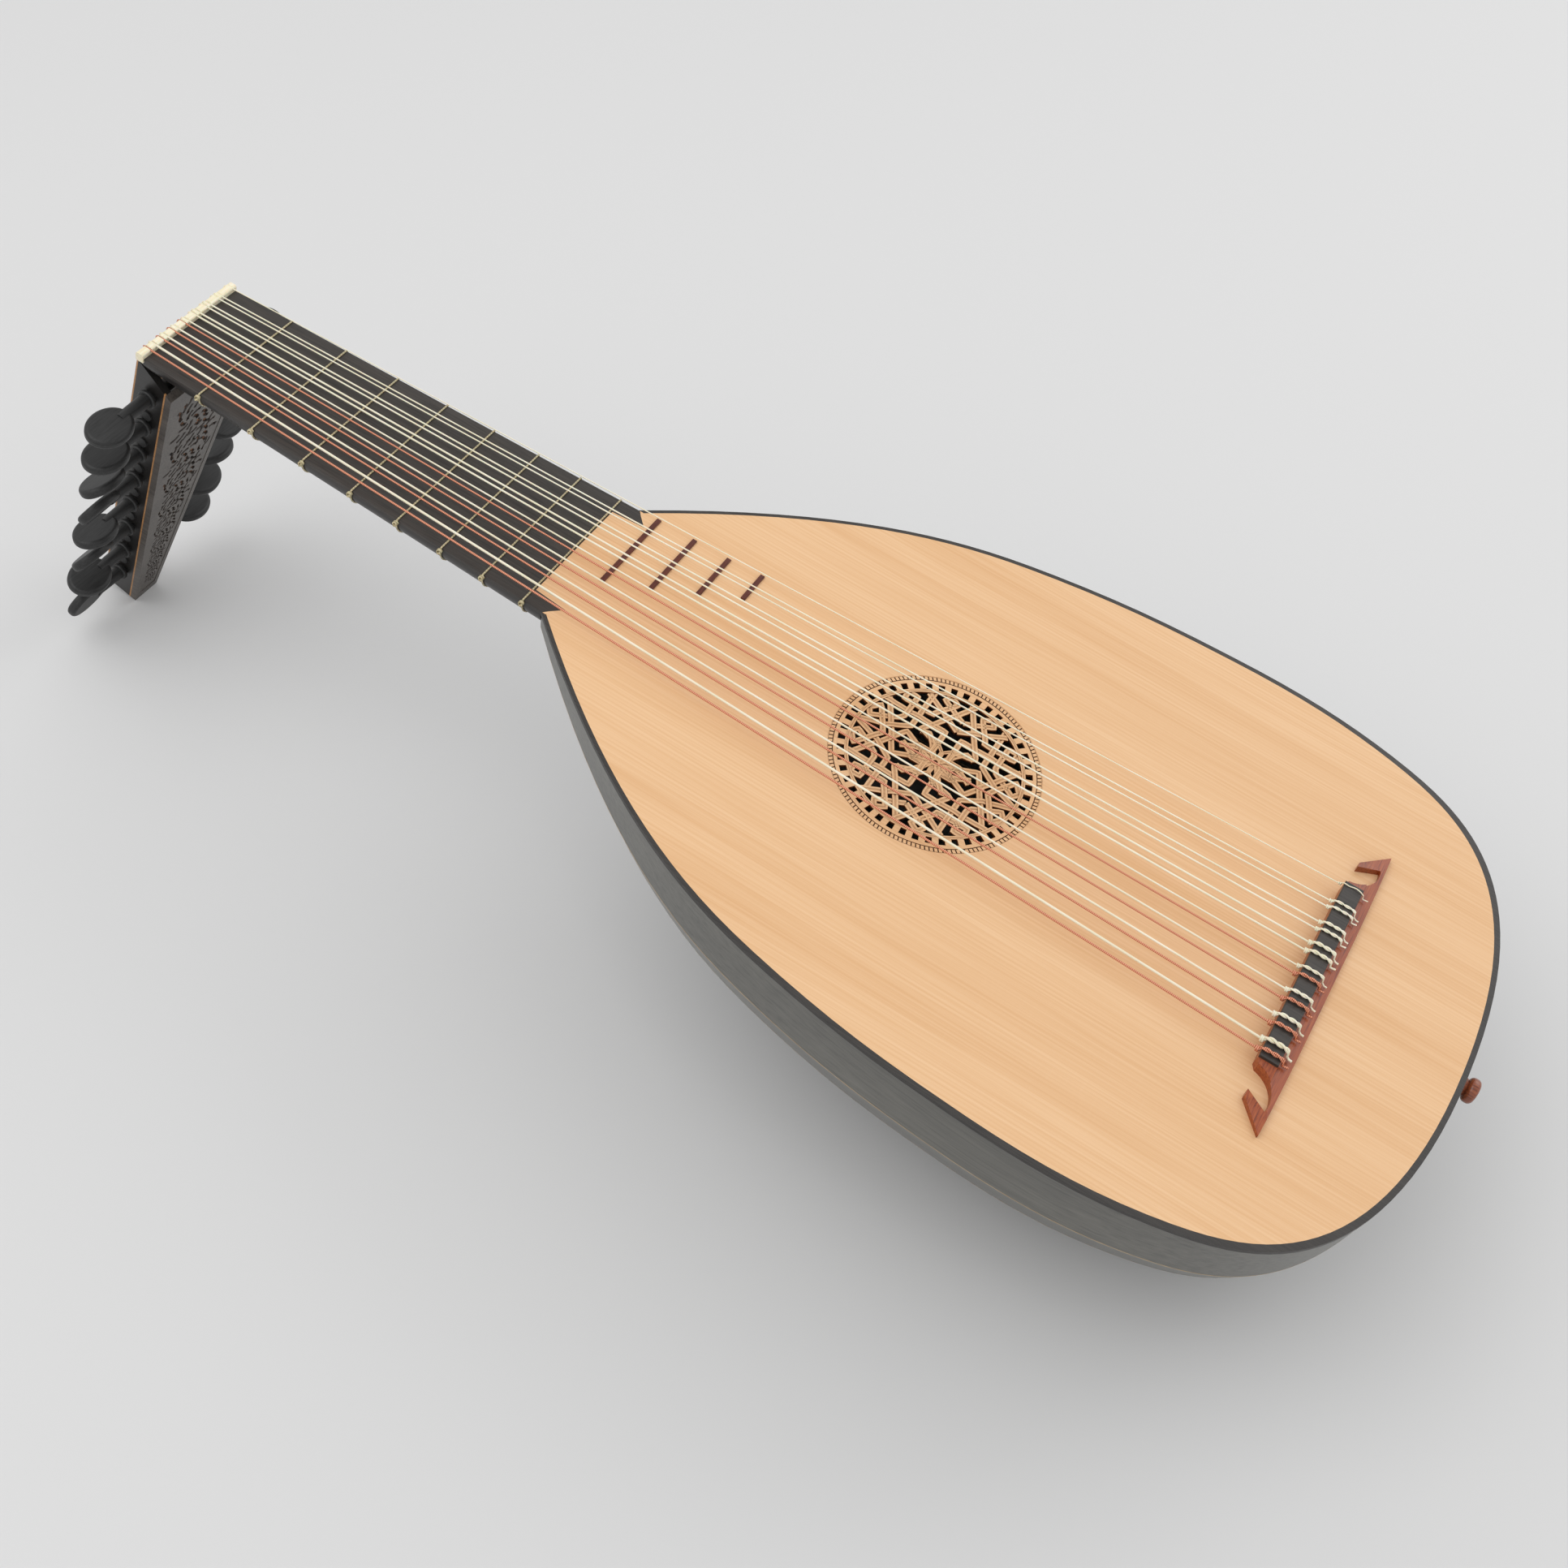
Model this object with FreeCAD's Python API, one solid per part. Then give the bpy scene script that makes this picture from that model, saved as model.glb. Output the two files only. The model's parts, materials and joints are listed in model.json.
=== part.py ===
import FreeCAD, Part

import math
import os

os.makedirs("parts", exist_ok=True)
V = FreeCAD.Vector

# An eight-course Renaissance lute, in millimetres.
#
# Everything is drawn in the maker's frame: X runs along the strings from the nut's front
# edge (x = 0) to the tail, Y points to the treble side, and Z = 0 is the top face of the
# soundboard and of the fingerboard, which lie in one plane. At the end every piece is turned
# a little about Y and lifted, so that the lute lies on its back, on the bowl and on the end
# of the pegbox, with Z = 0 as the surface it rests on and X = Y = 0 at the middle of its box.

# ---- body ------------------------------------------------------------------------------------
STRING_LENGTH = 600.0          # nut to bridge, the sounding length
NECK_PAST_FRET = 10.0          # from the last tied fret to where the neck meets the body
BRIDGE_GAP = 1.0               # from the strings' end to the bridge's front
BRIDGE_TO_TAIL = 83.0          # from the bridge's front to the tail
BODY_HALF_WIDTH = 153.2
BOWL_DEPTH = 141.5             # below the soundboard's underside
BOARD_T = 2.0                  # soundboard, edging and fingerboard
EDGING_W = 2.6                 # black edging let in round the soundboard
EDGING_OVERHANG = 0.5          # the edging stands this far past the ribs
RIB_T = 1.8
RIB_COUNT = 11
SPACER_T = 0.7                 # light strips between the ribs
BAR_W = 5.0                    # harmonic bars under the soundboard
BAR_H = 15.0
BAR_PLACES = (0.11, 0.21, 0.54, 0.66, 0.78, 0.90)   # as shares of the body length
NECK_BLOCK_L = 30.0
TAIL_LINER_L = 16.0
TAIL_LINER_H = 30.0
SLICE_START = 8.0              # the slices that part the ribs start this far before the joint

# Control points of half the body outline: share of the length, share of the half width.
# The first one's width is the neck's, and the last two make the tail's blunt round end.
OUTLINE = ((0.19, 0.77), (0.42, 0.96), (0.59, 1.00), (0.80, 1.02), (1.0, 0.77), (1.0, 0.0))

# ---- neck and fingerboard --------------------------------------------------------------------
NUT_HALF_WIDTH = 33.2
NECK_FLARE = 0.035             # half width gained for each mm towards the body
NECK_DEPTH_NUT = 15.5          # wood below the fingerboard at the nut
NECK_DEPTH_BODY = 20.5
HEEL_L = 34.0                  # the heel swells from the neck's back to the bowl's depth
HEEL_HALF_START = 25.0
HEEL_HALF_BODY = 33.5
HEEL_SINK = 1.5                # the heel starts this far inside the neck's back
TONGUE_L = 9.0                 # the soundboard reaches this far up the neck
TONGUE_HALF_WIDTH = 32.0       # soundboard between the two fingerboard points
POINT_L = 8.0                  # the points reach this far onto the body
POINT_TIP_Y = 33.5
POINT_HEEL_L = 2.7
POINT_HEEL_Y = 39.0
NUT_W = 4.2
NUT_H = 2.9
TIED_FRETS = 8
BODY_FRETS = 4
GUT_D = 0.9
BODY_FRET_W = 2.3
BODY_FRET_H = 0.9
BODY_FRET_EDGES = ((-7.9, 42.1), (2.8, 42.3), (14.1, 42.8), (25.6, 44.3))  # y ends of frets 9 to 12

# ---- rose ------------------------------------------------------------------------------------
ROSE_PLACE = 0.4115            # its centre, as a share of the body length
ROSE_R = 50.0
ROSE_WINDOWS = 46              # small square holes in the outer ring
ROSE_WINDOW_R = 43.6
ROSE_WINDOW_SIZE = 3.6
ROSE_LIGHTS = ((36.0, 3.2, 18), (27.5, 3.6, 12), (18.5, 3.4, 6), (10.0, 2.2, 6))  # ring, hole, count

# ---- bridge ----------------------------------------------------------------------------------
BRIDGE_HALF = 86.4             # middle to the tip of one hook
CAP_HALF = 54.8
CAP_W = 9.0
CAP_T = 1.8
BRIDGE_H = 6.6
BRIDGE_W = 15.4                # front face to back edge
LEDGE_H = 4.2                  # the ledge behind the cap
ARM_H = 3.2
TIP_H = 2.2

# ---- pegbox ----------------------------------------------------------------------------------
PEGBOX_ANGLE = 14.6            # leans back from square by this, in degrees
PEGBOX_L = 224.0
PEGBOX_END_HALF = 8.8
CHEEK_T = 4.0
CHEEK_DEPTH = 18.6
BACK_T = 3.6
BACK_RECESS = 1.3              # sunk panel that holds the carving
BACK_MARGIN = 3.4
STRINGING = 0.9                # light lines let into the edges
END_BLOCK_L = 10.0
JOINT_S = 13.0                 # the neck's slanted end: how far down the pegbox's back starts

# ---- pegs ------------------------------------------------------------------------------------
BASS_PEGS = 8
BASS_FIRST_S = 21.0            # first bass peg, along the pegbox
BASS_LAST_GAP = 23.1           # last bass peg to the pegbox's end
TREBLE_PEGS = 7
TREBLE_SHARE_FIRST = 0.66      # a treble peg's place between two bass pegs, as a share of
TREBLE_SHARE_LAST = 0.50       # their distance
PEG_DEPTH = 10.6               # peg axis behind the pegbox's front edge
PEG_R_HEAD_END = 3.5
PEG_R_TIP = 2.8
PEG_CLEARANCE = 0.05           # running fit in the cheeks, on the radius
PEG_TIP_OUT = 1.2              # the tip shows past the far cheek
COLLAR_R = 5.0
COLLAR_L = 2.4
COLLAR_GAP = 1.4
SHANK_R = 3.7
SHANK_L = 12.0
HEAD_L = 26.0
HEAD_GAP = 5.2                 # room between two heads that lie in one plane
HEAD_T = 5.2
HEAD_EDGE = 2.0
# Turn of each head from lying square across the pegbox, in degrees, bass side then treble side.
BASS_TURNS = (8, 2, -30, -60, -8, -52, 15, -72)
TREBLE_TURNS = (18, -45, 8, 30, -6, 22, 10)

# ---- strings ---------------------------------------------------------------------------------
# One row for each string, from the treble: course, diameter, y at the nut, y at the bridge.
STRINGS = (
    (1, 0.55, 31.6, 52.4),
    (2, 0.70, 23.7, 40.6),
    (2, 0.70, 21.4, 36.7),
    (3, 0.80, 15.5, 26.5),
    (3, 0.80, 13.1, 22.1),
    (4, 0.95, 7.5, 13.3),
    (4, 0.95, 5.0, 8.2),
    (5, 0.80, -0.4, -1.5),
    (5, 0.90, -2.9, -6.2),
    (6, 0.90, -7.9, -16.2),
    (6, 0.95, -10.5, -21.5),
    (7, 1.00, -15.6, -31.1),
    (7, 1.00, -18.4, -36.3),
    (8, 1.20, -23.7, -46.0),
    (8, 1.05, -27.9, -51.6),
)
STRING_Z_NUT = 2.0             # string centres above the board
STRING_Z_BRIDGE = 7.0
STRING_BEHIND_NUT = 0.95       # from the nut's back face to the bend
STRING_FRONT_GAP = 0.1         # between a string's end and the bridge's front face
STRING_BEND_R = 1.4
STRING_PEG_GAP = 0.4           # between a string's end and the peg it is wound on
STRING_GATHER = 0.35           # y at the peg, as a share of y at the nut

# ---- end button ------------------------------------------------------------------------------
BUTTON_Z = -8.4
BUTTON_STEM_R = 4.2
BUTTON_FOOT_R = 4.8
BUTTON_NECK_R = 3.7
BUTTON_HEAD_R = 5.9
BUTTON_NECK_L = 2.6
BUTTON_HEAD_L = 5.2
BUTTON_STEM_IN = 15.0
POLE_R = 4.0                   # where the points of the ribs are let into the tail liner


def fret_x(number):
    return STRING_LENGTH * (1.0 - 2.0 ** (-number / 12.0))


BODY_JOINT_X = fret_x(TIED_FRETS) + NECK_PAST_FRET
BRIDGE_FRONT_X = STRING_LENGTH + BRIDGE_GAP
TAIL_X = BRIDGE_FRONT_X + BRIDGE_TO_TAIL
BODY_LENGTH = TAIL_X - BODY_JOINT_X
ROSE_X = BODY_JOINT_X + ROSE_PLACE * BODY_LENGTH
FINGERBOARD_END_X = BODY_JOINT_X - TONGUE_L
POINT_TIP_X = BODY_JOINT_X + POINT_L
POINT_HEEL_X = BODY_JOINT_X + POINT_HEEL_L
BASS_PITCH = (PEGBOX_L - BASS_FIRST_S - BASS_LAST_GAP) / (BASS_PEGS - 1)
HEAD_W = BASS_PITCH - HEAD_GAP
BOWL_HALF = BODY_HALF_WIDTH - EDGING_OVERHANG
BOWL_RATIO = BOWL_DEPTH / BOWL_HALF
X_AXIS = V(1, 0, 0)
Y_AXIS = V(0, 1, 0)
Z_AXIS = V(0, 0, 1)

solids = {}


def neck_half(x):
    return NUT_HALF_WIDTH + NECK_FLARE * x


def prism(points, along):
    """A solid from a flat closed outline and the vector it is pushed along."""
    return Part.Face(Part.makePolygon(list(points) + [points[0]])).extrude(along)


def box(x0, x1, y0, y1, z0, z1):
    return Part.makeBox(x1 - x0, y1 - y0, z1 - z0, V(x0, y0, z0))


# ---- the body outline ------------------------------------------------------------------------

def outline_poles(share, inset):
    """(x, distance from the centre line) of the control points of half the outline.

    share scales the distance, as the ribs need it; inset moves the curve inwards."""
    length = BODY_LENGTH - inset
    poles = [(BODY_JOINT_X, neck_half(BODY_JOINT_X) * share - inset)]
    for along, across in OUTLINE:
        distance = max(across * BODY_HALF_WIDTH * share - inset, 0.0)
        poles.append((BODY_JOINT_X + along * length, distance))
    return poles


def spline_edge(points):
    inner = len(points) - 4
    knots = [i / (inner + 1.0) for i in range(inner + 2)]
    mults = [4] + [1] * inner + [4]
    curve = Part.BSplineCurve()
    curve.buildFromPolesMultsKnots(points, mults, knots, False, 3)
    return curve.toShape()


def plan_face(inset, z):
    """The body's plan, inset from its edge, as a flat face at height z."""
    poles = outline_poles(1.0, inset)
    upper = [V(x, y, z) for x, y in poles]
    lower = [V(x, -y, z) for x, y in poles]
    edges = [spline_edge(upper), spline_edge(lower), Part.makeLine(lower[0], upper[0])]
    return Part.Face(Part.Wire(Part.__sortEdges__(edges)))


def plate(inset):
    return plan_face(inset, -BOARD_T).extrude(V(0, 0, BOARD_T))


# ---- the bowl --------------------------------------------------------------------------------

def seam(index):
    """Direction, in Y and Z, of a seam between ribs, for an outline distance of 1."""
    angle = math.pi * index / RIB_COUNT
    return V(0, -math.cos(angle), -BOWL_RATIO * math.sin(angle))


def profile_face(share, normal, outer, inner):
    """Flat face in the plane of X and normal, between two insets of the outline."""
    base = V(0, 0, -BOARD_T)
    far = [base + V(x, 0, 0) + normal * r for x, r in outline_poles(share, outer)]
    near = [base + V(x, 0, 0) + normal * r for x, r in outline_poles(share, inner)]
    edges = [
        spline_edge(far),
        Part.makeLine(far[-1], near[-1]),
        spline_edge(near[::-1]),
        Part.makeLine(near[0], far[0]),
    ]
    return Part.Face(Part.Wire(edges))


def section_disc(radius, z):
    """A disc across the body's axis, at the front of the slices between the seams."""
    ring = Part.Circle(V(BODY_JOINT_X - SLICE_START, 0, z), X_AXIS, radius)
    return Part.Face(Part.Wire([ring.toShape()]))


def wedge(index, gap):
    """The slice between two seams, with gap left along each seam that holds a spacer.

    Room is left for the pole and the button's stem, where the ribs come to their points."""
    first = seam(index)
    last = seam(index + 1)
    first.normalize()
    last.normalize()
    inward_first = X_AXIS.cross(first)
    gap_first = gap if index > 0 else 0.0
    gap_last = gap if index + 1 < RIB_COUNT else 0.0
    turn = first.getAngle(last)
    # the two offset planes meet where both gaps are met
    along = (gap_last + gap_first * math.cos(turn)) / math.sin(turn)
    apex = first * along + inward_first * gap_first
    base = V(BODY_JOINT_X - SLICE_START, 0, -BOARD_T)
    reach = 2.0 * BODY_HALF_WIDTH
    corners = [base + apex, base + apex + first * reach, base + apex + last * reach]
    section = Part.Face(Part.makePolygon(corners + [corners[0]]))
    section = section.cut(section_disc(POLE_R, -BOARD_T)).cut(section_disc(BUTTON_STEM_R, BUTTON_Z))
    return section.Faces[0].extrude(V(BODY_LENGTH + 2.0 * SLICE_START, 0, 0))


def rib_slice(index, outer, inner, gap):
    """What lies between two insets of the bowl's surface, in one rib's slice."""
    first = seam(index)
    last = seam(index + 1)
    across = last - first
    across.normalize()
    normal = across.cross(X_AXIS)
    share = first.dot(normal)
    if share < 0:
        normal = normal * -1.0
        share = -share
    face = profile_face(share, normal, outer, inner)
    reach = BODY_HALF_WIDTH
    face.translate(across * -reach)
    slab = face.extrude(across * (2.0 * reach))
    return slab.common(wedge(index, gap))


def as_solid(shape):
    """The one solid in a boolean's result."""
    found = sorted(shape.Solids, key=lambda s: s.Volume)
    return found[-1]


def button_bore(radius, start, end):
    return Part.makeCylinder(radius, end - start, V(start, 0, BUTTON_Z), X_AXIS)


def under_rib(index):
    """Everything on the inner side of one rib, across the whole body."""
    first = seam(index)
    across = seam(index + 1) - first
    across.normalize()
    normal = across.cross(X_AXIS)
    if first.dot(normal) < 0:
        normal = normal * -1.0
    reach = 2.0 * BODY_HALF_WIDTH
    base = V(0, 0, -BOARD_T)
    poles = outline_poles(first.dot(normal), EDGING_OVERHANG + RIB_T)
    far = [base + V(x, 0, 0) + normal * r for x, r in poles]
    tail_low = far[-1] - normal * reach
    neck_low = tail_low + V(BODY_JOINT_X - far[-1].x, 0, 0)
    edges = [spline_edge(far), Part.makeLine(far[-1], tail_low), Part.makeLine(tail_low, neck_low),
             Part.makeLine(neck_low, far[0])]
    face = Part.Face(Part.Wire(edges))
    face.translate(across * -reach)
    return face.extrude(across * (2.0 * reach))


def make_bowl():
    pole = Part.makeCylinder(POLE_R, 40.0, V(TAIL_X - 30.0, 0, -BOARD_T), X_AXIS)
    stem = button_bore(BUTTON_STEM_R, TAIL_X - 30.0, TAIL_X + 10.0)
    outer = EDGING_OVERHANG
    for i in range(RIB_COUNT):
        rib = rib_slice(i, outer, outer + RIB_T, SPACER_T / 2.0)
        solids["rib_%02d" % (i + 1)] = as_solid(rib)
    spacers = []
    for i in range(1, RIB_COUNT):
        direction = seam(i)
        share = direction.Length
        direction.normalize()
        sideways = X_AXIS.cross(direction)
        face = profile_face(share, direction, outer, outer + RIB_T)
        face.translate(sideways * (-SPACER_T / 2.0))
        spacers.append(as_solid(face.extrude(sideways * SPACER_T).cut(pole).cut(stem)))
    solids["rib_spacers"] = Part.Compound(spacers)

    half = BODY_HALF_WIDTH
    under = -BOARD_T
    covers = [under_rib(i) for i in range(RIB_COUNT)]

    def inside(x0, x1, height):
        """A block under the soundboard that fits inside the ribs."""
        block = box(x0, x1, -half, half, under - height, under)
        for cover in covers:
            block = block.common(cover)
        return as_solid(block)

    solids["neck_block"] = inside(BODY_JOINT_X, BODY_JOINT_X + NECK_BLOCK_L, BOWL_DEPTH)
    nub = Part.makeCylinder(POLE_R, TAIL_LINER_L, V(TAIL_X - TAIL_LINER_L, 0, under), X_AXIS)
    nub = nub.common(box(0.0, TAIL_X - outer, -half, half, under - POLE_R, under))
    liner = inside(TAIL_X - TAIL_LINER_L, TAIL_X, TAIL_LINER_H)
    solids["tail_liner"] = as_solid(liner.fuse(nub).cut(stem))
    middles = [BODY_JOINT_X + place * BODY_LENGTH for place in BAR_PLACES]
    bars = [inside(x - BAR_W / 2.0, x + BAR_W / 2.0, BAR_H) for x in middles]
    solids["soundboard_bars"] = Part.Compound(bars)


# ---- top plates, rose and frets on the body --------------------------------------------------

def neck_plan(x0, x1):
    """The fingerboard's plan between two places, one board thick."""
    corners = [V(x0, -neck_half(x0), -BOARD_T), V(x1, -neck_half(x1), -BOARD_T),
               V(x1, neck_half(x1), -BOARD_T), V(x0, neck_half(x0), -BOARD_T)]
    return prism(corners, V(0, 0, BOARD_T))


def point_prism(side):
    """Room for one fingerboard point, wider than the body so that the plan trims it."""
    outer = BODY_HALF_WIDTH
    corners = [
        V(FINGERBOARD_END_X, side * TONGUE_HALF_WIDTH, -BOARD_T),
        V(POINT_TIP_X, side * POINT_TIP_Y, -BOARD_T),
        V(POINT_HEEL_X, side * POINT_HEEL_Y, -BOARD_T),
        V(BODY_JOINT_X, side * (neck_half(BODY_JOINT_X) + 1.0), -BOARD_T),
        V(BODY_JOINT_X, side * outer, -BOARD_T),
        V(FINGERBOARD_END_X, side * outer, -BOARD_T),
    ]
    return prism(corners, V(0, 0, BOARD_T))


def make_top():
    points = [point_prism(side) for side in (-1, 1)]
    whole = plate(0.0).fuse(neck_plan(FINGERBOARD_END_X, BODY_JOINT_X))
    inner = plate(EDGING_W)
    tongue = neck_plan(FINGERBOARD_END_X, BODY_JOINT_X + EDGING_W)
    board = inner.fuse(tongue).cut(points[0]).cut(points[1])
    ring = whole.cut(inner).cut(tongue).cut(points[0]).cut(points[1])
    rose_disc = Part.makeCylinder(ROSE_R, BOARD_T, V(ROSE_X, 0, -BOARD_T))
    solids["soundboard"] = as_solid(board.removeSplitter().cut(rose_disc))
    solids["soundboard_edging"] = as_solid(ring)
    trimmed = [as_solid(whole.common(p).removeSplitter()) for p in points]
    solids["fingerboard_points"] = Part.Compound(trimmed)
    solids["fingerboard"] = neck_plan(0.0, FINGERBOARD_END_X)

    holes = []
    half = ROSE_WINDOW_SIZE / 2.0
    for i in range(ROSE_WINDOWS):
        window = box(ROSE_WINDOW_R - half, ROSE_WINDOW_R + half, -half, half, -BOARD_T, 0.0)
        window.rotate(V(0, 0, 0), Z_AXIS, 360.0 * i / ROSE_WINDOWS)
        holes.append(window)
    for ring_r, hole_r, count in ROSE_LIGHTS:
        for i in range(count):
            angle = 2.0 * math.pi * (i + 0.5) / count
            at = V(ring_r * math.cos(angle), ring_r * math.sin(angle), -BOARD_T)
            holes.append(Part.makeCylinder(hole_r, BOARD_T, at))
    pattern = Part.Compound(holes)
    pattern.translate(V(ROSE_X, 0, 0))
    solids["rose"] = as_solid(rose_disc.cut(pattern))

    strips = []
    for i, (low, high) in enumerate(BODY_FRET_EDGES):
        x = fret_x(TIED_FRETS + 1 + i)
        strips.append(box(x - BODY_FRET_W / 2.0, x + BODY_FRET_W / 2.0, low, high, 0.0, BODY_FRET_H))
    solids["body_frets"] = Part.Compound(strips)


# ---- neck, nut and tied frets ----------------------------------------------------------------

def pegbox_point(s, n, y=0.0):
    """A point from its distance down the pegbox, its depth from the front edge and its y."""
    lean = math.radians(PEGBOX_ANGLE)
    x = -NUT_W - s * math.sin(lean) + n * math.cos(lean)
    z = -BOARD_T - s * math.cos(lean) - n * math.sin(lean)
    return V(x, y, z)


def half_oval(x, half, depth):
    """A closed half oval hanging from the neck's flat top, at one place along the neck."""
    centre = V(x, 0, -BOARD_T)
    side = V(x, half, -BOARD_T)
    low = V(x, 0, -BOARD_T - depth)
    oval = Part.Ellipse(side, low, centre) if half > depth else Part.Ellipse(low, side, centre)
    start = oval.parameter(V(x, -half, -BOARD_T))
    end = oval.parameter(side)
    if end < start:
        end += 2.0 * math.pi
    arc = oval.toShape(start, end)
    if arc.valueAt((start + end) / 2.0).z > -BOARD_T:
        arc = oval.toShape(end, start + 2.0 * math.pi)
    return Part.Wire([arc, Part.makeLine(arc.Vertexes[-1].Point, arc.Vertexes[0].Point)])


def neck_solid(grow):
    """The neck's round back, grown all round by the thickness of a fret."""
    ends = ((-NUT_W, NECK_DEPTH_NUT), (BODY_JOINT_X, NECK_DEPTH_BODY))
    ovals = [half_oval(x, neck_half(x) + grow, depth + grow) for x, depth in ends]
    return Part.makeLoft(ovals, True, True)


def heel_solid():
    """The swelling under the neck that meets the bowl's front end."""
    depth = BOWL_RATIO * (neck_half(BODY_JOINT_X) - EDGING_OVERHANG) - 1.0
    first = BODY_JOINT_X - HEEL_L
    last = BODY_JOINT_X
    middle = BODY_JOINT_X - HEEL_L * 0.45
    wires = [
        half_oval(first, HEEL_HALF_START, NECK_DEPTH_BODY - HEEL_SINK * 1.6),
        half_oval(middle, (HEEL_HALF_START + HEEL_HALF_BODY) / 2.0, NECK_DEPTH_BODY + HEEL_SINK * 1.4),
        half_oval(last, HEEL_HALF_BODY, depth),
    ]
    return Part.makeLoft(wires, True, False)


def beside_joint(side):
    """What lies on one side of the slanted face where neck and pegbox meet: 1 neck, -1 pegbox."""
    half = BODY_HALF_WIDTH
    away = V(side * BODY_JOINT_X, 0, 0)
    top = pegbox_point(0.0, 0.0, -half)
    slope = pegbox_point(JOINT_S, CHEEK_DEPTH + BACK_T, -half) - top
    high = top - slope
    low = top + slope * 3.0
    return prism([high, low, low + away, high + away], V(0, 2.0 * half, 0))


def make_neck():
    neck = neck_solid(0.0).fuse(heel_solid())
    board = neck_plan(-NUT_W, BODY_JOINT_X)
    core = neck.fuse(board)
    gut = GUT_D
    wide = [V(-NUT_W, -neck_half(-NUT_W) - gut, -BOARD_T),
            V(BODY_JOINT_X, -neck_half(BODY_JOINT_X) - gut, -BOARD_T),
            V(BODY_JOINT_X, neck_half(BODY_JOINT_X) + gut, -BOARD_T),
            V(-NUT_W, neck_half(-NUT_W) + gut, -BOARD_T)]
    grown = neck_solid(gut).fuse(prism(wide, V(0, 0, BOARD_T + gut)))
    frets = []
    span = BODY_HALF_WIDTH
    for number in range(1, TIED_FRETS + 1):
        x = fret_x(number)
        slab = box(x - gut / 2.0, x + gut / 2.0, -span, span, -span, span)
        frets.append(as_solid(grown.common(slab).cut(core)))
    solids["tied_frets"] = Part.Compound(frets)
    solids["neck"] = as_solid(neck.cut(beside_joint(-1)))

    half = neck_half(0.0) + 0.8
    nut = box(-NUT_W, 0.0, -half, half, -BOARD_T, NUT_H)
    top_edges = [e for e in nut.Edges if abs(e.CenterOfMass.z - NUT_H) < 0.01 and e.Length > NUT_W + 1.0]
    nut = nut.makeFillet(1.2, top_edges)
    for route, radius in string_routes():
        groove = Part.makeCylinder(radius + 0.08, 30.0, route[1], (route[0] - route[1]))
        nut = nut.cut(groove)
        slot = groove.copy()
        slot.translate(V(0, 0, NUT_H - STRING_Z_NUT))
        nut = nut.cut(slot)
    solids["nut"] = as_solid(nut)


# ---- pegbox ----------------------------------------------------------------------------------

def pegbox_half(s):
    return NUT_HALF_WIDTH + (PEGBOX_END_HALF - NUT_HALF_WIDTH) * s / PEGBOX_L


def pegbox_prism(corners, n0, n1):
    """A solid from a plan in (s, y), between two depths."""
    points = [pegbox_point(s, n0, y) for s, y in corners]
    return prism(points, pegbox_point(0, n1) - pegbox_point(0, n0))


def peg_places():
    """(side, s, turn) of every peg, bass side first, each side from the nut down."""
    bass = [(-1, BASS_FIRST_S + BASS_PITCH * i, BASS_TURNS[i]) for i in range(BASS_PEGS)]
    step = (TREBLE_SHARE_LAST - TREBLE_SHARE_FIRST) / (TREBLE_PEGS - 1)
    treble = []
    for i, turn in enumerate(TREBLE_TURNS):
        share = TREBLE_SHARE_FIRST + step * i
        treble.append((1, BASS_FIRST_S + BASS_PITCH * (i + share), turn))
    return bass + treble


def peg_cone(side, s, grow):
    """A peg's tapered shaft, from its tip to the collar, grown by grow on the radius."""
    half = pegbox_half(s)
    tip = pegbox_point(s, PEG_DEPTH, -side * (half + PEG_TIP_OUT))
    length = 2.0 * half + PEG_TIP_OUT + COLLAR_GAP
    return Part.makeCone(PEG_R_TIP + grow, PEG_R_HEAD_END + grow, length, tip, V(0, side, 0))


def strip(side, n0, n1):
    """A light line along a cheek's outer edge."""
    top = side * pegbox_half(0.0)
    end = side * pegbox_half(PEGBOX_L)
    inner = side * STRINGING
    corners = [(0.0, top), (PEGBOX_L, end), (PEGBOX_L, end - inner), (0.0, top - inner)]
    return pegbox_prism(corners, n0, n1)


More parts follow.
